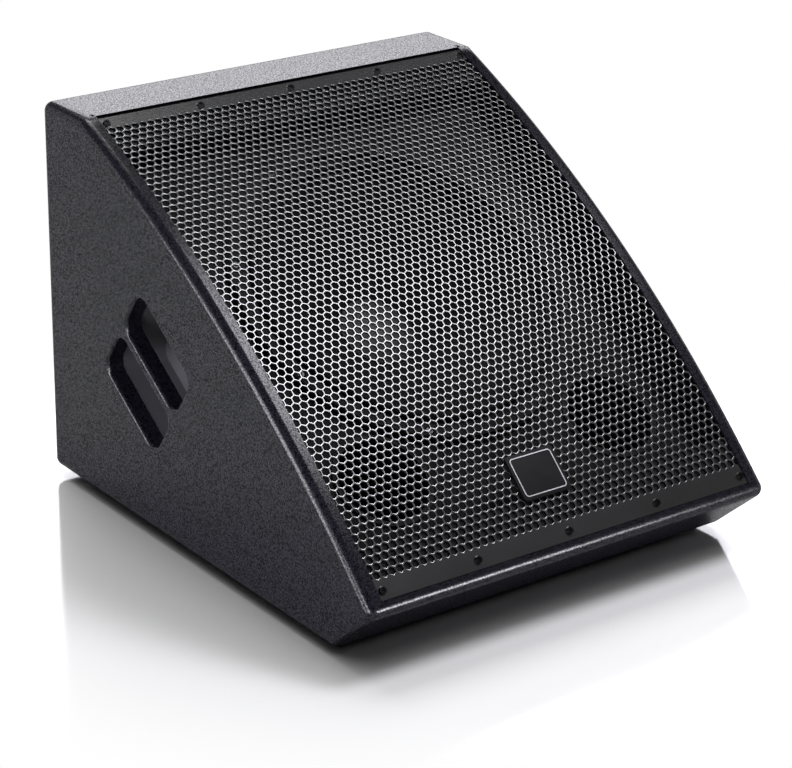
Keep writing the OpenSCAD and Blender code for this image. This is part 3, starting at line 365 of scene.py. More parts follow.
def make_pebble_group():
    """Pebbled coating: its height, a shade that is painted shade and light on the grains (darker in the
    pits, lighter on the tops), slow clouds and a shine that differs by grain.
    """
    tree, scale, result = new_group("Pebbled coating", ["Height", "Shade", "Clouds", "Shine"])
    place = tree.nodes.new("ShaderNodeTexCoord").outputs["Object"]
    grains = tree.nodes.new("ShaderNodeTexVoronoi")
    grains.feature = "SMOOTH_F1"
    grains.inputs["Smoothness"].default_value = 0.6
    fine = noise_node(tree, detail=3.0, rough=0.6)
    fine_scale = math_node(tree, "MULTIPLY")
    fine_scale.inputs[1].default_value = 1.7
    clouds = noise_node(tree, detail=3.0, rough=0.55, scale=9.0)
    for texture in (grains, fine, clouds):
        tree.links.new(place, texture.inputs["Vector"])
    tree.links.new(scale, grains.inputs["Scale"])
    tree.links.new(scale, fine_scale.inputs[0])
    tree.links.new(fine_scale.outputs[0], fine.inputs["Scale"])
    both = math_node(tree, "ADD")
    domes = spanned(tree, grains.outputs["Distance"], (0.0, 0.75), (1.0, 0.0))
    tree.links.new(domes, both.inputs[0])
    tree.links.new(fine.outputs["Fac"], both.inputs[1])
    height = both.outputs[0]
    tree.links.new(height, result["Height"])
    # The shade follows the height: painted shade in the pits between pebbles and painted light on their
    # tops
    tree.links.new(spanned(tree, height, (0.55, 1.35), (0.2, 1.8)), result["Shade"])
    tree.links.new(spanned(tree, clouds.outputs["Fac"], (0.3, 0.7), (0.0, 1.0)), result["Clouds"])
    tree.links.new(spanned(tree, height, (0.6, 1.3), (0.0, 1.0)), result["Shine"])
    return tree


def make_fine_group():
    """Fine even grain of moulded, cast or coated surfaces, with slow clouds of handling."""
    tree, scale, result = new_group("Fine grain", ["Height", "Shade", "Clouds"])
    place = tree.nodes.new("ShaderNodeTexCoord").outputs["Object"]
    grain = noise_node(tree, detail=2.0, rough=0.55)
    clouds = noise_node(tree, detail=4.0, rough=0.6, scale=14.0)
    for texture in (grain, clouds):
        tree.links.new(place, texture.inputs["Vector"])
    tree.links.new(scale, grain.inputs["Scale"])
    height = grain.outputs["Fac"]
    tree.links.new(height, result["Height"])
    tree.links.new(spanned(tree, height, (0.3, 0.7), (0.85, 1.15)), result["Shade"])
    tree.links.new(spanned(tree, clouds.outputs["Fac"], (0.35, 0.65), (0.0, 1.0)), result["Clouds"])
    return tree


pebble_group = make_pebble_group()
fine_group = make_fine_group()


def new_material(name, **constants):
    """Principled material whose even values sit on the shader's own sockets."""
    mat = bpy.data.materials.new(name)
    mat.use_nodes = True
    shader = mat.node_tree.nodes["Principled BSDF"]
    for key, value in constants.items():
        shader.inputs[key.replace("_", " ")].default_value = value
    return mat, mat.node_tree, shader


def tinted(tree, shade, color):
    """Colour multiplied by a shade that changes over the surface."""
    mix = tree.nodes.new("ShaderNodeMix")
    mix.data_type = "RGBA"
    mix.blend_type = "MULTIPLY"
    mix.inputs["Factor"].default_value = 1.0
    mix.inputs["A"].default_value = (*color, 1.0)
    tree.links.new(shade, mix.inputs["B"])
    return mix.outputs["Result"]


def bumped(tree, shader, height, strength, distance):
    bump = tree.nodes.new("ShaderNodeBump")
    bump.inputs["Strength"].default_value = strength
    bump.inputs["Distance"].default_value = distance
    tree.links.new(height, bump.inputs["Height"])
    tree.links.new(bump.outputs["Normal"], shader.inputs["Normal"])


finishes = {}


def patterned(name, group, color, rough, grain, bump, depth, **constants):
    """Finish whose colour, roughness and bumps follow a node group."""
    mat, tree, shader = new_material(name, **constants)
    pattern = tree.nodes.new("ShaderNodeGroup")
    pattern.node_tree = group
    pattern.inputs["Grains per metre"].default_value = grain
    roughness = spanned(tree, pattern.outputs["Clouds"], (0.0, 1.0), rough)
    tree.links.new(roughness, shader.inputs["Roughness"])
    tree.links.new(tinted(tree, pattern.outputs["Shade"], color), shader.inputs["Base Color"])
    bumped(tree, shader, pattern.outputs["Height"], bump, depth)
    finishes[name] = mat
    return tree, shader, pattern


def pebbled(name, coat, **values):
    """Pebbled paint with a clear coat that is stronger on its high grains."""
    tree, shader, pattern = patterned(name, pebble_group, **values)
    shine = spanned(tree, pattern.outputs["Shine"], (0.0, 1.0), coat)
    tree.links.new(shine, shader.inputs["Coat Weight"])


def grained(name, color, **values):
    patterned(name, fine_group, color, **values)


# Finishes: one for each of the record's slots, and two for the badge's rim and printed marks

# Its base colour carries painted shade in the pits of the pebbles and painted light on their tops
pebbled("cabinet_paint", coat=(0.25, 0.78), color=(0.006, 0.0057, 0.0088),
        rough=(0.4, 0.5), grain=750, bump=0.3, depth=0.0005,
        Specular_IOR_Level=0.0, Coat_Roughness=0.24)
grained("inner_wood", (0.015, 0.015, 0.016), rough=(0.65, 0.8), grain=400, bump=0.3, depth=0.0006,
        Specular_IOR_Level=0.15)
grained("grille_steel", (0.004, 0.004, 0.005), rough=(0.21, 0.24), grain=2500, bump=0.08, depth=0.0002,
        Specular_IOR_Level=1.0, Coat_Weight=1.0, Coat_Roughness=0.22)
grained("black_screws", (0.002, 0.002, 0.002), rough=(0.2, 0.26), grain=3000, bump=0.1, depth=0.0001,
        Specular_IOR_Level=0.35)
grained("badge", (0.007, 0.007, 0.009), rough=(0.55, 0.65), grain=2500, bump=0.08, depth=0.0001,
        Specular_IOR_Level=0.15)
grained("badge_rim", (0.62, 0.62, 0.64), rough=(0.28, 0.36), grain=2500, bump=0.08, depth=0.0001,
        Metallic=0.7)
grained("cup_plastic", (0.045, 0.045, 0.05), rough=(0.45, 0.55), grain=1200, bump=0.25, depth=0.0003)
grained("port_plastic", (0.006, 0.006, 0.006), rough=(0.55, 0.65), grain=1200, bump=0.2, depth=0.0003,
        Specular_IOR_Level=0.25)
grained("foot_rubber", (0.018, 0.018, 0.018), rough=(0.65, 0.8), grain=900, bump=0.35, depth=0.0005)
grained("zinc_screws", (0.55, 0.55, 0.56), rough=(0.25, 0.4), grain=2000, bump=0.1, depth=0.0001,
        Metallic=1.0)
grained("cast_frame", (0.008, 0.008, 0.009), rough=(0.55, 0.65), grain=900, bump=0.3, depth=0.0004,
        Specular_IOR_Level=0.2)
grained("gasket_foam", (0.006, 0.006, 0.006), rough=(0.8, 0.9), grain=700, bump=0.5, depth=0.0006)
grained("surround_cloth", (0.006, 0.006, 0.007), rough=(0.6, 0.75), grain=1400, bump=0.4, depth=0.0004,
        Specular_IOR_Level=0.2)
grained("cone_paper", (0.006, 0.006, 0.007), rough=(0.6, 0.75), grain=600, bump=0.5, depth=0.0005,
        Specular_IOR_Level=0.2)
grained("screen_mesh", (0.04, 0.04, 0.042), rough=(0.45, 0.6), grain=1600, bump=0.5, depth=0.0004,
        Metallic=0.3)
grained("coil_copper", (0.6, 0.3, 0.14), rough=(0.3, 0.4), grain=2500, bump=0.2, depth=0.0002,
        Metallic=1.0)
grained("spider_cloth", (0.5, 0.33, 0.13), rough=(0.7, 0.8), grain=1500, bump=0.4, depth=0.0004)
grained("motor_steel", (0.42, 0.43, 0.45), rough=(0.3, 0.42), grain=1500, bump=0.12, depth=0.0002,
        Metallic=1.0)
grained("ferrite", (0.045, 0.045, 0.05), rough=(0.5, 0.65), grain=700, bump=0.4, depth=0.0004)
grained("hf_casting", (0.07, 0.07, 0.075), rough=(0.45, 0.55), grain=800, bump=0.35, depth=0.0004)
grained("titanium_foil", (0.6, 0.6, 0.62), rough=(0.25, 0.35), grain=2000, bump=0.1, depth=0.0001,
        Metallic=1.0)
grained("hf_cap", (0.02, 0.02, 0.022), rough=(0.45, 0.55), grain=1200, bump=0.25, depth=0.0003)
grained("rear_plate", (0.024, 0.024, 0.026), rough=(0.42, 0.52), grain=1800, bump=0.3, depth=0.0003)
grained("sink_aluminium", (0.03, 0.03, 0.033), rough=(0.38, 0.48), grain=1800, bump=0.15, depth=0.0002,
        Metallic=0.6)
grained("circuit_board", (0.02, 0.12, 0.05), rough=(0.3, 0.4), grain=900, bump=0.15, depth=0.0002)
grained("spacer_brass", (0.6, 0.43, 0.18), rough=(0.25, 0.35), grain=2000, bump=0.1, depth=0.0001,
        Metallic=1.0)
grained("capacitor_sleeve", (0.015, 0.03, 0.1), rough=(0.25, 0.35), grain=1500, bump=0.1, depth=0.0001)
grained("transformer_tape", (0.09, 0.06, 0.035), rough=(0.45, 0.6), grain=500, bump=0.3, depth=0.0004)
grained("socket_plastic", (0.016, 0.016, 0.017), rough=(0.35, 0.45), grain=1600, bump=0.2, depth=0.0002)
grained("lead_sleeve", (0.14, 0.014, 0.012), rough=(0.4, 0.5), grain=1500, bump=0.15, depth=0.0002)
grained("latch_metal", (0.45, 0.46, 0.48), rough=(0.28, 0.38), grain=2000, bump=0.1, depth=0.0001,
        Metallic=1.0)
grained("control_body", (0.35, 0.36, 0.38), rough=(0.3, 0.4), grain=2000, bump=0.1, depth=0.0001,
        Metallic=1.0)
grained("knob_plastic", (0.02, 0.02, 0.021), rough=(0.42, 0.52), grain=1600, bump=0.2, depth=0.0002)
grained("light_lens", (0.04, 0.36, 0.07), rough=(0.15, 0.22), grain=1500, bump=0.05, depth=0.0001)
grained("slider_plastic", (0.6, 0.6, 0.61), rough=(0.4, 0.5), grain=1500, bump=0.15, depth=0.0002)
grained("white_print", (0.62, 0.62, 0.61), rough=(0.5, 0.6), grain=2000, bump=0.1, depth=0.0001)

for part in frame["record"]["subparts"]:
    paint(frame["nodes"][part["node"]], part["material_slot"])


# Camera

def place_camera():
    deselect()
    bpy.ops.object.camera_add(location=CAMERA_PLACE)
    camera = added("photo_camera")
    backward = CAMERA_RIGHT.cross(CAMERA_UP)
    turn = Matrix((CAMERA_RIGHT, CAMERA_UP, backward)).transposed()
    camera.rotation_euler = turn.to_euler()
    camera.data.lens = CAMERA_LENS
    camera.data.sensor_width = SENSOR_W
    camera.data.clip_end = VIEW_REACH
    bpy.context.scene.camera = camera


place_camera()


# Side panels, with soft corners all round

def arc(centre, r, start, end, steps):
    """Points in the plane of the sides, with angles from the back up, in degrees."""
    angles = [math.radians(start + (end - start) * i / steps) for i in range(steps + 1)]
    return [centre + r * Vector((0, math.cos(a), math.sin(a))) for a in angles]


def front_and_kick(inside, r):
    """Point at a depth inside the kick face that lies on a circle round the front's centre."""
    start = heel_edge - inside * kick_out - front_c
    along = start.dot(kick_dir)
    return front_c + start + kick_dir * (math.sqrt(along ** 2 - start.length_squared + r * r) - along)


def side_outline():
    corner_steps = 8
    front_steps = 48
    back_low = Vector((0, back_y - EDGE_R, FOOT_H + EDGE_R))
    back_high = Vector((0, back_y - EDGE_R, top_z - EDGE_R))
    nose_c = front_and_kick(EDGE_R, front_r - EDGE_R)
    nose_start = math.degrees(math.atan2((nose_c - front_c).z, (nose_c - front_c).y))
    nose_end = math.degrees(math.atan2(kick_out.z, kick_out.y)) % 360
    top_start = math.degrees(math.atan2((top_edge - front_c).z, (top_edge - front_c).y))
    points = [heel_edge]
    points += arc(back_low, EDGE_R, -90, 0, corner_steps)
    points += arc(back_high, EDGE_R, 0, 90, corner_steps)
    points += arc(front_c, front_r, top_start, nose_start, front_steps)
    points += arc(nose_c, EDGE_R, nose_start, nose_end, corner_steps)[1:]
    return points


def slot_cutter(face_x, row):
    """Bar through a side panel, in line with the front."""
    length = 4 * PANEL_T
    corner_steps = 10
    bar = rounded_plate("slot_cutter", SLOT_L, SLOT_W, length, SLOT_R, corner_steps)
    settle(bar, (-length / 2, 0, 0), (math.pi / 2, 0, math.pi / 2))
    settle(bar, handle_c + row * SLOT_PITCH / 2 * outward, (slope, 0, 0))
    return settle(bar, (face_x, 0, 0))


def pocket_cutter(side):
    """Curved bar over the sheet's edge, spun round the front's centre."""
    reach = 10 * MM
    bow_steps = 64
    bow_turn = (front_len - LOW_LIP_H - POCKET_TOP) / front_r
    inner = CAB_W / 2 - PANEL_T - reach
    outer = CAB_W / 2 - LIP_W
    low_r = front_r - POCKET_DEEP
    high_r = front_r + reach
    deselect()
    bpy.ops.mesh.primitive_plane_add(size=1)
    bar = added("pocket_cutter")
    bar.scale = (outer - inner, high_r - low_r, 1)
    place = front_point(POCKET_TOP, (low_r + high_r) / 2) + Vector((side * (inner + outer) / 2, 0, 0))
    settle(bar, place, (front_tilt(POCKET_TOP) + math.pi / 2, 0, 0))
    edit_all(bar)
    bpy.ops.mesh.spin(steps=bow_steps, angle=bow_turn, center=front_c, axis=(1, 0, 0))
    leave_edit()
    merge(bar)
    face_outwards(bar)
    return bar


def make_side_panel(side, name, node):
    face_x = side * CAB_W / 2
    near = 0.01 * MM
    round_r = EDGE_R - 0.1 * MM
    round_steps = 6
    slot_steps = 4
    crease = 40

    def on_face(point):
        return abs(point.x - face_x) < near

    def at_slots(point):
        return on_face(point) and (point - handle_c).yz.length < SLOT_L

    start = Vector((face_x - side * PANEL_T, 0, 0))
    panel = drawn(name, [start + p for p in side_outline()])
    bpy.ops.mesh.edge_face_add()
    bpy.ops.mesh.extrude_region_move(TRANSFORM_OT_translate={"value": (side * PANEL_T, 0, 0)})
    leave_edit()
    face_outwards(panel)
    edit_all(panel, "EDGE")
    select_by(panel, "EDGE", lambda e: all(on_face(p) for p in ends(panel, e)))
    bpy.ops.mesh.bevel(offset=round_r, segments=round_steps, affect="EDGES", clamp_overlap=False)
    leave_edit()
    cut(panel, pocket_cutter(side))
    for row in (-1, 1):
        cut(panel, slot_cutter(face_x, row))
    edit_all(panel, "EDGE")
    select_by(panel, "EDGE", lambda e: all(at_slots(p) for p in ends(panel, e)))
    bpy.ops.mesh.bevel(offset=SLOT_EDGE_R, segments=slot_steps, affect="EDGES", clamp_overlap=False)
    leave_edit()
    smooth(panel, crease)
    use(panel, "WEIGHTED_NORMAL", keep_sharp=True)
    return dress(panel, "cabinet", "cabinet_paint", replaced=[node])


side_left = make_side_panel(-1, "side_left", "side_panel_left")
side_right = make_side_panel(1, "side_right", "side_panel_right")


# Grille

def hexagon_rows(first, count, insets):
    """Every second row of the sheet's hexagons, flat on the floor plane, holed by insets if any."""
    reach = GRILLE_W / 2 + 2 * HOLE_PITCH
    across = 2 * round(reach / HOLE_PITCH) + 1
    start_x = LATTICE_X - (across // 2) * HOLE_PITCH - (first % 2) * HOLE_PITCH / 2
    start_y = front_len / 2 - GRILLE_TOP - FIRST_ROW - first * ROW_STEP
    deselect()
    bpy.ops.mesh.primitive_circle_add(vertices=6, radius=HOLE_PITCH / math.sqrt(3), fill_type="NGON",
                                      location=(start_x, start_y, 0))
    cell = added("hexagons")
    cell.scale.y = ROW_STEP / (HOLE_PITCH * math.sqrt(3) / 2)
    settle(cell)
    if insets:
        edit_all(cell)
        for width, sink in insets:
            bpy.ops.mesh.inset(thickness=width, depth=-sink)
        bpy.ops.mesh.delete(type="FACE")
        leave_edit()
    use(cell, "ARRAY", use_relative_offset=False, use_constant_offset=True, count=across,
        constant_offset_displace=(HOLE_PITCH, 0, 0))
    if count > 1:
        use(cell, "ARRAY", use_relative_offset=False, use_constant_offset=True, count=count,
            constant_offset_displace=(0, -2 * ROW_STEP, 0))
    return cell


def hexagon_skin(name, insets):
    """One face of the sheet: rows of holed hexagons between plain ones, larger than the sheet all round."""
    even_rows = (HOLE_ROWS + 1) // 2
    rows = [hexagon_rows(0, even_rows, insets), hexagon_rows(1, HOLE_ROWS - even_rows, insets)]
    for first in (-MARGIN_ROWS, HOLE_ROWS):
        rows.append(hexagon_rows(first, 2, ()))
        rows.append(hexagon_rows(first + 1, 1, ()))
    skin = join(rows, name)
    merge(skin)
    return skin


def trim(piece, point, normal):
    edit_all(piece)
    bpy.ops.mesh.bisect(plane_co=point, plane_no=normal, clear_outer=True, use_fill=True)
    leave_edit()


def make_grille():
    top_y = front_len / 2 - GRILLE_TOP
    crease = 60
    face_weight = 85
    face = hexagon_skin("grille_face", ((HOLE_WEB / 2 - HOLE_ROUND, 0), (HOLE_ROUND, HOLE_ROUND)))
    edit_all(face, "EDGE")
    bpy.ops.mesh.select_all(action="DESELECT")
    bpy.ops.mesh.select_non_manifold(extend=False, use_wire=False, use_boundary=True, use_multi_face=False,
                                     use_non_contiguous=False, use_verts=False)
    bpy.ops.mesh.extrude_edges_move(TRANSFORM_OT_translate={"value": (0, 0, -GRILLE_T)})
    bpy.ops.transform.resize(value=(1, 1, 0), center_override=(0, 0, -GRILLE_T))
    leave_edit()
    back = settle(hexagon_skin("grille_back", ((HOLE_WEB / 2, 0),)), (0, 0, -GRILLE_T))
    sheet = join([face, back], "grille_sheet")
    merge(sheet)
    face_outwards(sheet)
    for point, normal in (((GRILLE_W / 2, 0, 0), (1, 0, 0)), ((-GRILLE_W / 2, 0, 0), (-1, 0, 0)),
                          ((0, top_y, 0), (0, 1, 0)), ((0, top_y - grille_len, 0), (0, -1, 0))):
        trim(sheet, point, normal)
    settle(sheet, turn=(math.pi / 2, 0, 0))
    use(sheet, "SIMPLE_DEFORM", deform_method="BEND", deform_axis="X", angle=grille_len / grille_face_r)
    settle(sheet, front_c + grille_face_r * outward, (slope - math.pi / 2, 0, 0))
    smooth(sheet, crease)
    use(sheet, "WEIGHTED_NORMAL", weight=face_weight, keep_sharp=True)
    dress(sheet, "cabinet", "grille_steel", replaced=["grille"])


make_grille()


# Blank badge with a pale rim

def make_badge():
    rim_w = 42 * MM
    rim_h = 34.5 * MM
    rim_line = 0.9 * MM
    rim_up = 0.25 * MM
    rim_r = 3.2 * MM
    edge_r = 0.5 * MM
    edge_steps = 3
    sharp = math.radians(40)
    seat_gap = 0.05 * MM
    s = front_len - GRILLE_LOW - BADGE_UP
    face = rounded_plate("badge_face", BADGE_W, BADGE_H, BADGE_T, BADGE_R)
    use(face, "BEVEL", width=edge_r, segments=edge_steps, limit_method="ANGLE", angle_limit=sharp)
    on_front(face, s, BADGE_X, seat_gap)
    smooth(face)
    dress(face, "cabinet", "badge", replaced=["badge_plate"])
    rim = rounded_plate("badge_rim", rim_w, rim_h, 2 * rim_up, rim_r)
    edit_all(rim)
    select_by(rim, "FACE", lambda f: abs(f.normal.z) > 0.9)
    bpy.ops.mesh.inset(thickness=rim_line)
    bpy.ops.mesh.bridge_edge_loops()
    leave_edit()
    face_outwards(rim)
    on_front(rim, s, BADGE_X, BADGE_T - rim_up)
    smooth(rim)
    dress(rim, "cabinet", "badge", "badge_rim")


make_badge()


# Soft and turned pieces of the driver

def turned(name, outline, wall, steps, angle=2 * math.pi):
    """Shell turned round the driver's axis from (radius, level) points, with a wall below its face."""
    piece = drawn(name, [Vector((r, 0, z)) for r, z in outline])
    bpy.ops.mesh.spin(steps=steps, angle=angle, center=(0, 0, 0), axis=(0, 0, 1))
    leave_edit()
    merge(piece)
    face_outwards(piece)
    if sum(f.normal.z * f.area for f in piece.data.polygons) < 0:
        edit_all(piece)
        bpy.ops.mesh.flip_normals()
        leave_edit()
    use(piece, "SOLIDIFY", thickness=wall, offset=-1)
    return piece


def at_driver(piece):
    settle(piece, driver_c, (slope, 0, 0))
    smooth(piece, CURVE_CREASE)
    return piece


def cone_outline():
    """Curved cone with four pressed rings."""
    steps = 64
    gap = 0.1 * MM
    neck_r = COIL_R + gap
    rim_r = CONE_R - CONE_T
    low = -CONE_DEPTH + CONE_T
    rise = CONE_DEPTH + SHELF_Z - CONE_T - gap
    bulge = 3 * MM
    ring_h = 0.7 * MM
    ring_w = 1.6 * MM
    rings = [56 * MM, 72 * MM, 88 * MM, 104 * MM]
    points = []
    for i in range(steps + 1):
        t = i / steps
        r = neck_r + (rim_r - neck_r) * t
        pressed = ring_h * sum(math.exp(-((r - ring) / ring_w) ** 2) for ring in rings)
        points.append((r, low + rise * t - bulge * math.sin(math.pi * t) + pressed))
    return points


def surround_outline():
    """Half roll between the cone's rim and the frame's shelf."""
    steps = 12
    lap = 3 * MM
    middle = CONE_R + ROLL_W / 2
    level = SHELF_Z + SURROUND_T
    points = [(CONE_R - lap, level)]
    for i in range(steps + 1):
        a = math.pi * (1 - i / steps)
        points.append((middle + ROLL_W / 2 * math.cos(a), level + (ROLL_H - SURROUND_T) * math.sin(a)))
    return points + [(CONE_R + ROLL_W + GLUE_W, level)]


def spider_outline():
    """Flat ring pressed in waves, with a plain seat."""
    steps = 48
    waves = 4
    wave_h = 1.2 * MM
    inner_r = COIL_R + 0.3 * MM
    points = []
    for i in range(steps + 1):
        t = i / steps
        r = inner_r + (SPIDER_SEAT_R - inner_r) * t
        points.append((r, SPIDER_Z + wave_h * math.sin(2 * math.pi * waves * t)))
    return points + [(SPIDER_R, SPIDER_Z)]


def dome_outline():
    """Cap of a ball over the coil."""
    steps = 16
    lap = 2 * MM
    lift = 3 * MM
    rim_r = COIL_R + lap
    ball_r = (rim_r ** 2 + DOME_H ** 2) / (2 * DOME_H)
    half = math.asin(rim_r / ball_r)
    angles = [half * i / steps for i in range(steps + 1)]
    top = -CONE_DEPTH + lift + DOME_H
    return [(ball_r * math.sin(a), top - ball_r * (1 - math.cos(a))) for a in angles]


def flexing_ring(name, outline, wall, slot, node):
    """Ring between the frame and the cone, in equal sectors."""
    sectors = 12
    sector_steps = 8
    turn = 2 * math.pi / sectors
    for i in range(sectors):
        piece = turned(f"{name}_{i + 1:02d}", outline, wall, sector_steps, turn)
        settle(piece, turn=(0, 0, i * turn))
        at_driver(piece)
        paint(piece, slot)
        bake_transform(piece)
        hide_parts(node)


def make_driver_pieces():
    screen_t = 0.8 * MM
    cone = at_driver(turned("cone", cone_outline(), CONE_T, steps=128))
    dress(cone, "cone", "cone_paper", replaced=["woofer_cone"])
    screen = at_driver(turned("dust_dome", dome_outline(), screen_t, steps=64))
    dress(screen, "cone", "screen_mesh", replaced=["dust_screen"])
    flexing_ring("surround", surround_outline(), SURROUND_T, "surround_cloth", "woofer_surround")
    flexing_ring("spider_ring", spider_outline(), SPIDER_T, "spider_cloth", "spider")


make_driver_pieces()


# Marks on the rear plate

def middle_of(node):
    low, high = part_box(node)
    return (low + high) / 2


def on_rear(piece, x, y, z, turn=0.0):
    """Stands a flat piece on a plane that faces back, turned in that plane as seen from behind."""
    settle(piece, turn=(0, 0, turn))
    settle(piece, (x, y, z), (math.pi / 2, 0, math.pi))


def make_scale(knob, name):
    """Eleven tick marks round a knob, over its turn."""
    ticks = 11
    long_every = 5
    sweep = math.radians(300)
    ring_r = 11 * MM
    tick_w = 0.55 * MM
    tick_t = 0.12 * MM
    tick_r = 0.2 * MM
    long = 2.6 * MM
    short = 1.6 * MM
    plate_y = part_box("amp_plate")[1].y
    middle = middle_of(knob)
    marks = []
    for i in range(ticks):
        length = long if i % long_every == 0 else short
        tick = rounded_plate("tick", tick_w, length, tick_t, tick_r, steps=2)
        settle(tick, (0, ring_r + length / 2, 0))
        on_rear(tick, middle.x, plate_y, middle.z, sweep * (0.5 - i / (ticks - 1)))
        marks.append(tick)
    scale = join(marks, name)
    face_outwards(scale)
    dress(scale, "cabinet", "rear_plate", "white_print")


def make_pointer(knob, name, body):
    """Pale line in the groove on a knob's face."""
    line_w = 0.86 * MM
    line_l = 6.4 * MM
    line_t = 0.42 * MM
    line_r = 0.3 * MM
    off_middle = 3.6 * MM
    groove = 0.5 * MM
    middle = middle_of(knob)
    top_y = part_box(knob)[1].y
    line = rounded_plate(name, line_w, line_l, line_t, line_r, steps=3)
    settle(line, (0, off_middle, 0))
    on_rear(line, middle.x, top_y - groove, middle.z)
    face_outwards(line)
    smooth(line)
    dress(line, body, "knob_plastic", "white_print")


for label in ("level", "low", "high"):
    make_scale(f"{label}_knob", f"{label}_scale")
    make_pointer(f"{label}_knob", f"{label}_pointer", f"{label}_control")


def make_rocker_marks():
    """A bar on one half of the rocker and a ring on the other."""
    lean = math.radians(8)
    rise = 3.4 * MM
    out = 5 * MM
    pivot_in = 2 * MM
    print_t = 0.1 * MM
    bar_w = 0.8 * MM
    bar_l = 3.6 * MM
    bar_r = 0.25 * MM
    ring_r = 1.7 * MM
    ring_line = 0.7 * MM
    middle = middle_of("power_switch")
    pivot_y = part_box("amp_plate")[1].y - pivot_in
    bar = rounded_plate("rocker_bar", bar_w, bar_l, print_t, bar_r, steps=2)
    deselect()
    bpy.ops.mesh.primitive_circle_add(vertices=24, radius=ring_r, fill_type="NGON")
    ring = added("rocker_ring")
    edit_all(ring)
    bpy.ops.mesh.inset(thickness=ring_line)
    bpy.ops.mesh.delete(type="FACE")
    bpy.ops.mesh.select_all(action="SELECT")
    bpy.ops.mesh.extrude_region_move(TRANSFORM_OT_translate={"value": (0, 0, print_t)})
    leave_edit()
    face_outwards(ring)
    for mark, half in ((bar, 1), (ring, -1)):
        settle(mark, turn=(half * lean, 0, 0))
        settle(mark, (0, half * out, rise + out * math.tan(lean)))
        settle(mark, turn=(lean, 0, 0))
        on_rear(mark, middle.x, pivot_y, middle.z)
        smooth(mark)
        dress(mark, "rocker", "knob_plastic", "white_print")


make_rocker_marks()


# Stage: pale floor, pale wall all round and lights

def seen_or_mirrored(tree):
    """One for rays from the camera and for mirrored and refracted ones, and zero for others."""
    path = tree.nodes.new("ShaderNodeLightPath")
    seen = math_node(tree, "MAXIMUM")
    clear = math_node(tree, "MAXIMUM")
    tree.links.new(path.outputs["Is Camera Ray"], seen.inputs[0])
    tree.links.new(path.outputs["Is Glossy Ray"], seen.inputs[1])
    tree.links.new(seen.outputs[0], clear.inputs[0])
    tree.links.new(path.outputs["Is Transmission Ray"], clear.inputs[1])
    return clear.outputs[0]


def make_world():
    world = bpy.data.worlds.new("studio")
    world.use_nodes = True
    back = world.node_tree.nodes["Background"]
    back.inputs["Color"].default_value = (*WHITE, 1)
    back.inputs["Strength"].default_value = WORLD_LEVEL
    bpy.context.scene.world = world


def make_floor():
    """White floor that mirrors a little near the object and is plain white farther off."""
    near_r = 0.28
    far_r = 0.5
    deselect()
    bpy.ops.mesh.primitive_circle_add(vertices=ROUND_SIDES, radius=WALL_R, fill_type="NGON")
    floor = added("floor")
    mat, tree, shader = new_material("floor", Base_Color=(0.8, 0.8, 0.8, 1), Roughness=0.1)
    place = tree.nodes.new("ShaderNodeTexCoord")
    distance = math_node(tree, "LENGTH", "ShaderNodeVectorMath")
    tree.links.new(place.outputs["Object"], distance.inputs[0])
    far = spanned(tree, distance.outputs["Value"], (near_r, far_r), (0.0, 1.0))
    far.node.interpolation_type = "SMOOTHSTEP"
    share = math_node(tree, "MULTIPLY")
    white = tree.nodes.new("ShaderNodeEmission")
    mix = tree.nodes.new("ShaderNodeMixShader")
    tree.links.new(far, share.inputs[0])
    tree.links.new(seen_or_mirrored(tree), share.inputs[1])
    tree.links.new(share.outputs[0], mix.inputs["Fac"])
    tree.links.new(shader.outputs[0], mix.inputs[1])
    tree.links.new(white.outputs[0], mix.inputs[2])
    tree.links.new(mix.outputs[0], tree.nodes["Material Output"].inputs["Surface"])
    floor.data.materials.append(mat)
    return floor


def make_wall():
    """Low round wall that shows and mirrors as white, and gives the object no light."""
    deselect()
    bpy.ops.mesh.primitive_cylinder_add(vertices=ROUND_SIDES, radius=WALL_R, depth=WALL_H,
                                        end_fill_type="NOTHING", location=(0, 0, WALL_H / 2))
    wall = settle(added("wall"))
    mat = bpy.data.materials.new("wall")
    mat.use_nodes = True
    tree = mat.node_tree
    tree.nodes.remove(tree.nodes["Principled BSDF"])
    white = tree.nodes.new("ShaderNodeEmission")
    tree.links.new(seen_or_mirrored(tree), white.inputs["Strength"])
    tree.links.new(white.outputs[0], tree.nodes["Material Output"].inputs["Surface"])
    wall.data.materials.append(mat)


def lit_alone(name, *pieces):
    """Collection for a lamp that lights these pieces and nothing else."""
    group = bpy.data.collections.new(name)
    for piece in pieces:
        group.objects.link(piece)
    return group


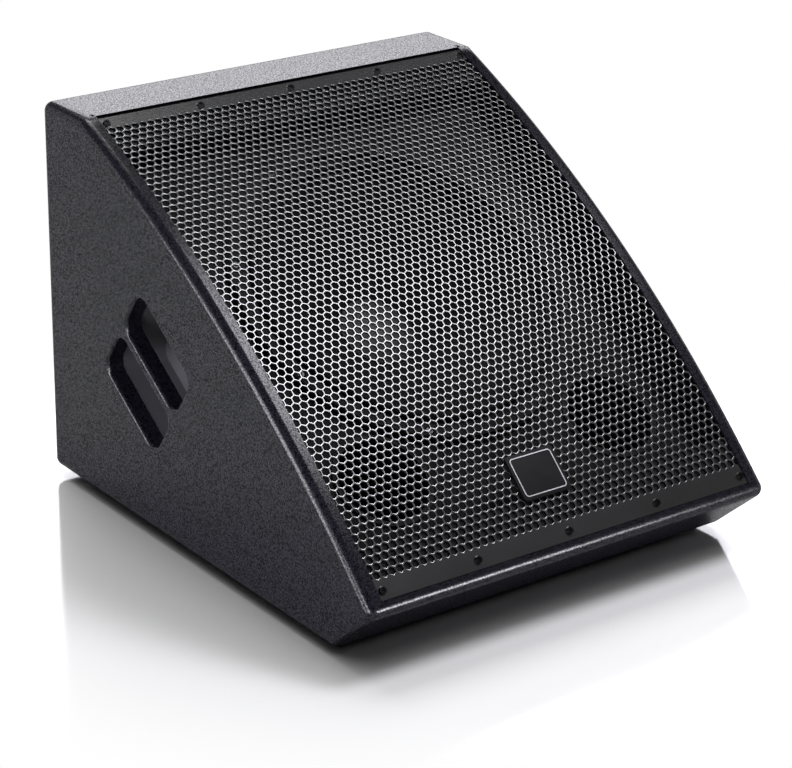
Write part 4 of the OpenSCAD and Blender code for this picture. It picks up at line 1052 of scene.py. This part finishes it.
def softbox(name, place, aim, size, power, color=COOL, alone=None):
    deselect()
    bpy.ops.object.light_add(type="AREA", location=place)
    lamp = added(name)
    lamp.data.shape = "RECTANGLE"
    lamp.data.size, lamp.data.size_y = size
    lamp.data.energy = power
    lamp.data.color = color
    lamp.visible_camera = False
    lamp.rotation_euler = (Vector(aim) - Vector(place)).to_track_quat("-Z", "Y").to_euler()
    if alone:
        lamp.light_linking.receiver_collection = alone


make_world()
floor = make_floor()
make_wall()
softbox("key_softbox", (1.05, -0.38, 2.3), aim=(0, 0, 0.25), size=(0.85, 0.85), power=38)
softbox("overhead_softbox", (0.3, 1.5, 2.6), aim=(0, 0, 0), size=(1.5, 1.5), power=50, color=WHITE)
softbox("back_softbox", (1.6, 2.35, 1.35), aim=(0, 0.15, 0.3), size=(1.8, 0.9), power=27)

# The low lamps light the sides and the nose alone, so that the floor keeps the object's shadow,
# and one lamp lights the floor alone
side_pieces = (side_left, side_right, frame["nodes"]["handle_cup_left"], frame["nodes"]["handle_cup_right"])
floor_alone = lit_alone("floor_alone", floor)
sides_alone = lit_alone("sides_alone", *side_pieces)
nose_alone = lit_alone("nose_alone", frame["nodes"]["kick_panel"], *side_pieces)
softbox("floor_softbox", (-0.4, -0.7, 2.6), aim=(-0.1, -0.2, 0), size=(2.0, 2.0), power=27,
        color=WHITE, alone=floor_alone)
softbox("left_softbox", (-1.6, 0.5, 0.23), aim=(-0.2, -0.1, 0.2), size=(0.9, 0.46), power=19,
        alone=sides_alone)
softbox("side_softbox", (-1.65, 0.2, 0.57), aim=(-0.2, -0.1, 0.2), size=(0.5, 0.4), power=9,
        alone=sides_alone)
softbox("fill_softbox", (-1.9, -0.9, 0.7), aim=(-0.2, -0.15, 0.1), size=(0.8, 0.6), power=45,
        alone=sides_alone)
softbox("nose_softbox", (0.85, -1.8, 0.27), aim=(0, -0.2, 0.1), size=(0.6, 0.5), power=40,
        alone=nose_alone)
bpy.context.scene.view_settings.view_transform = "Standard"
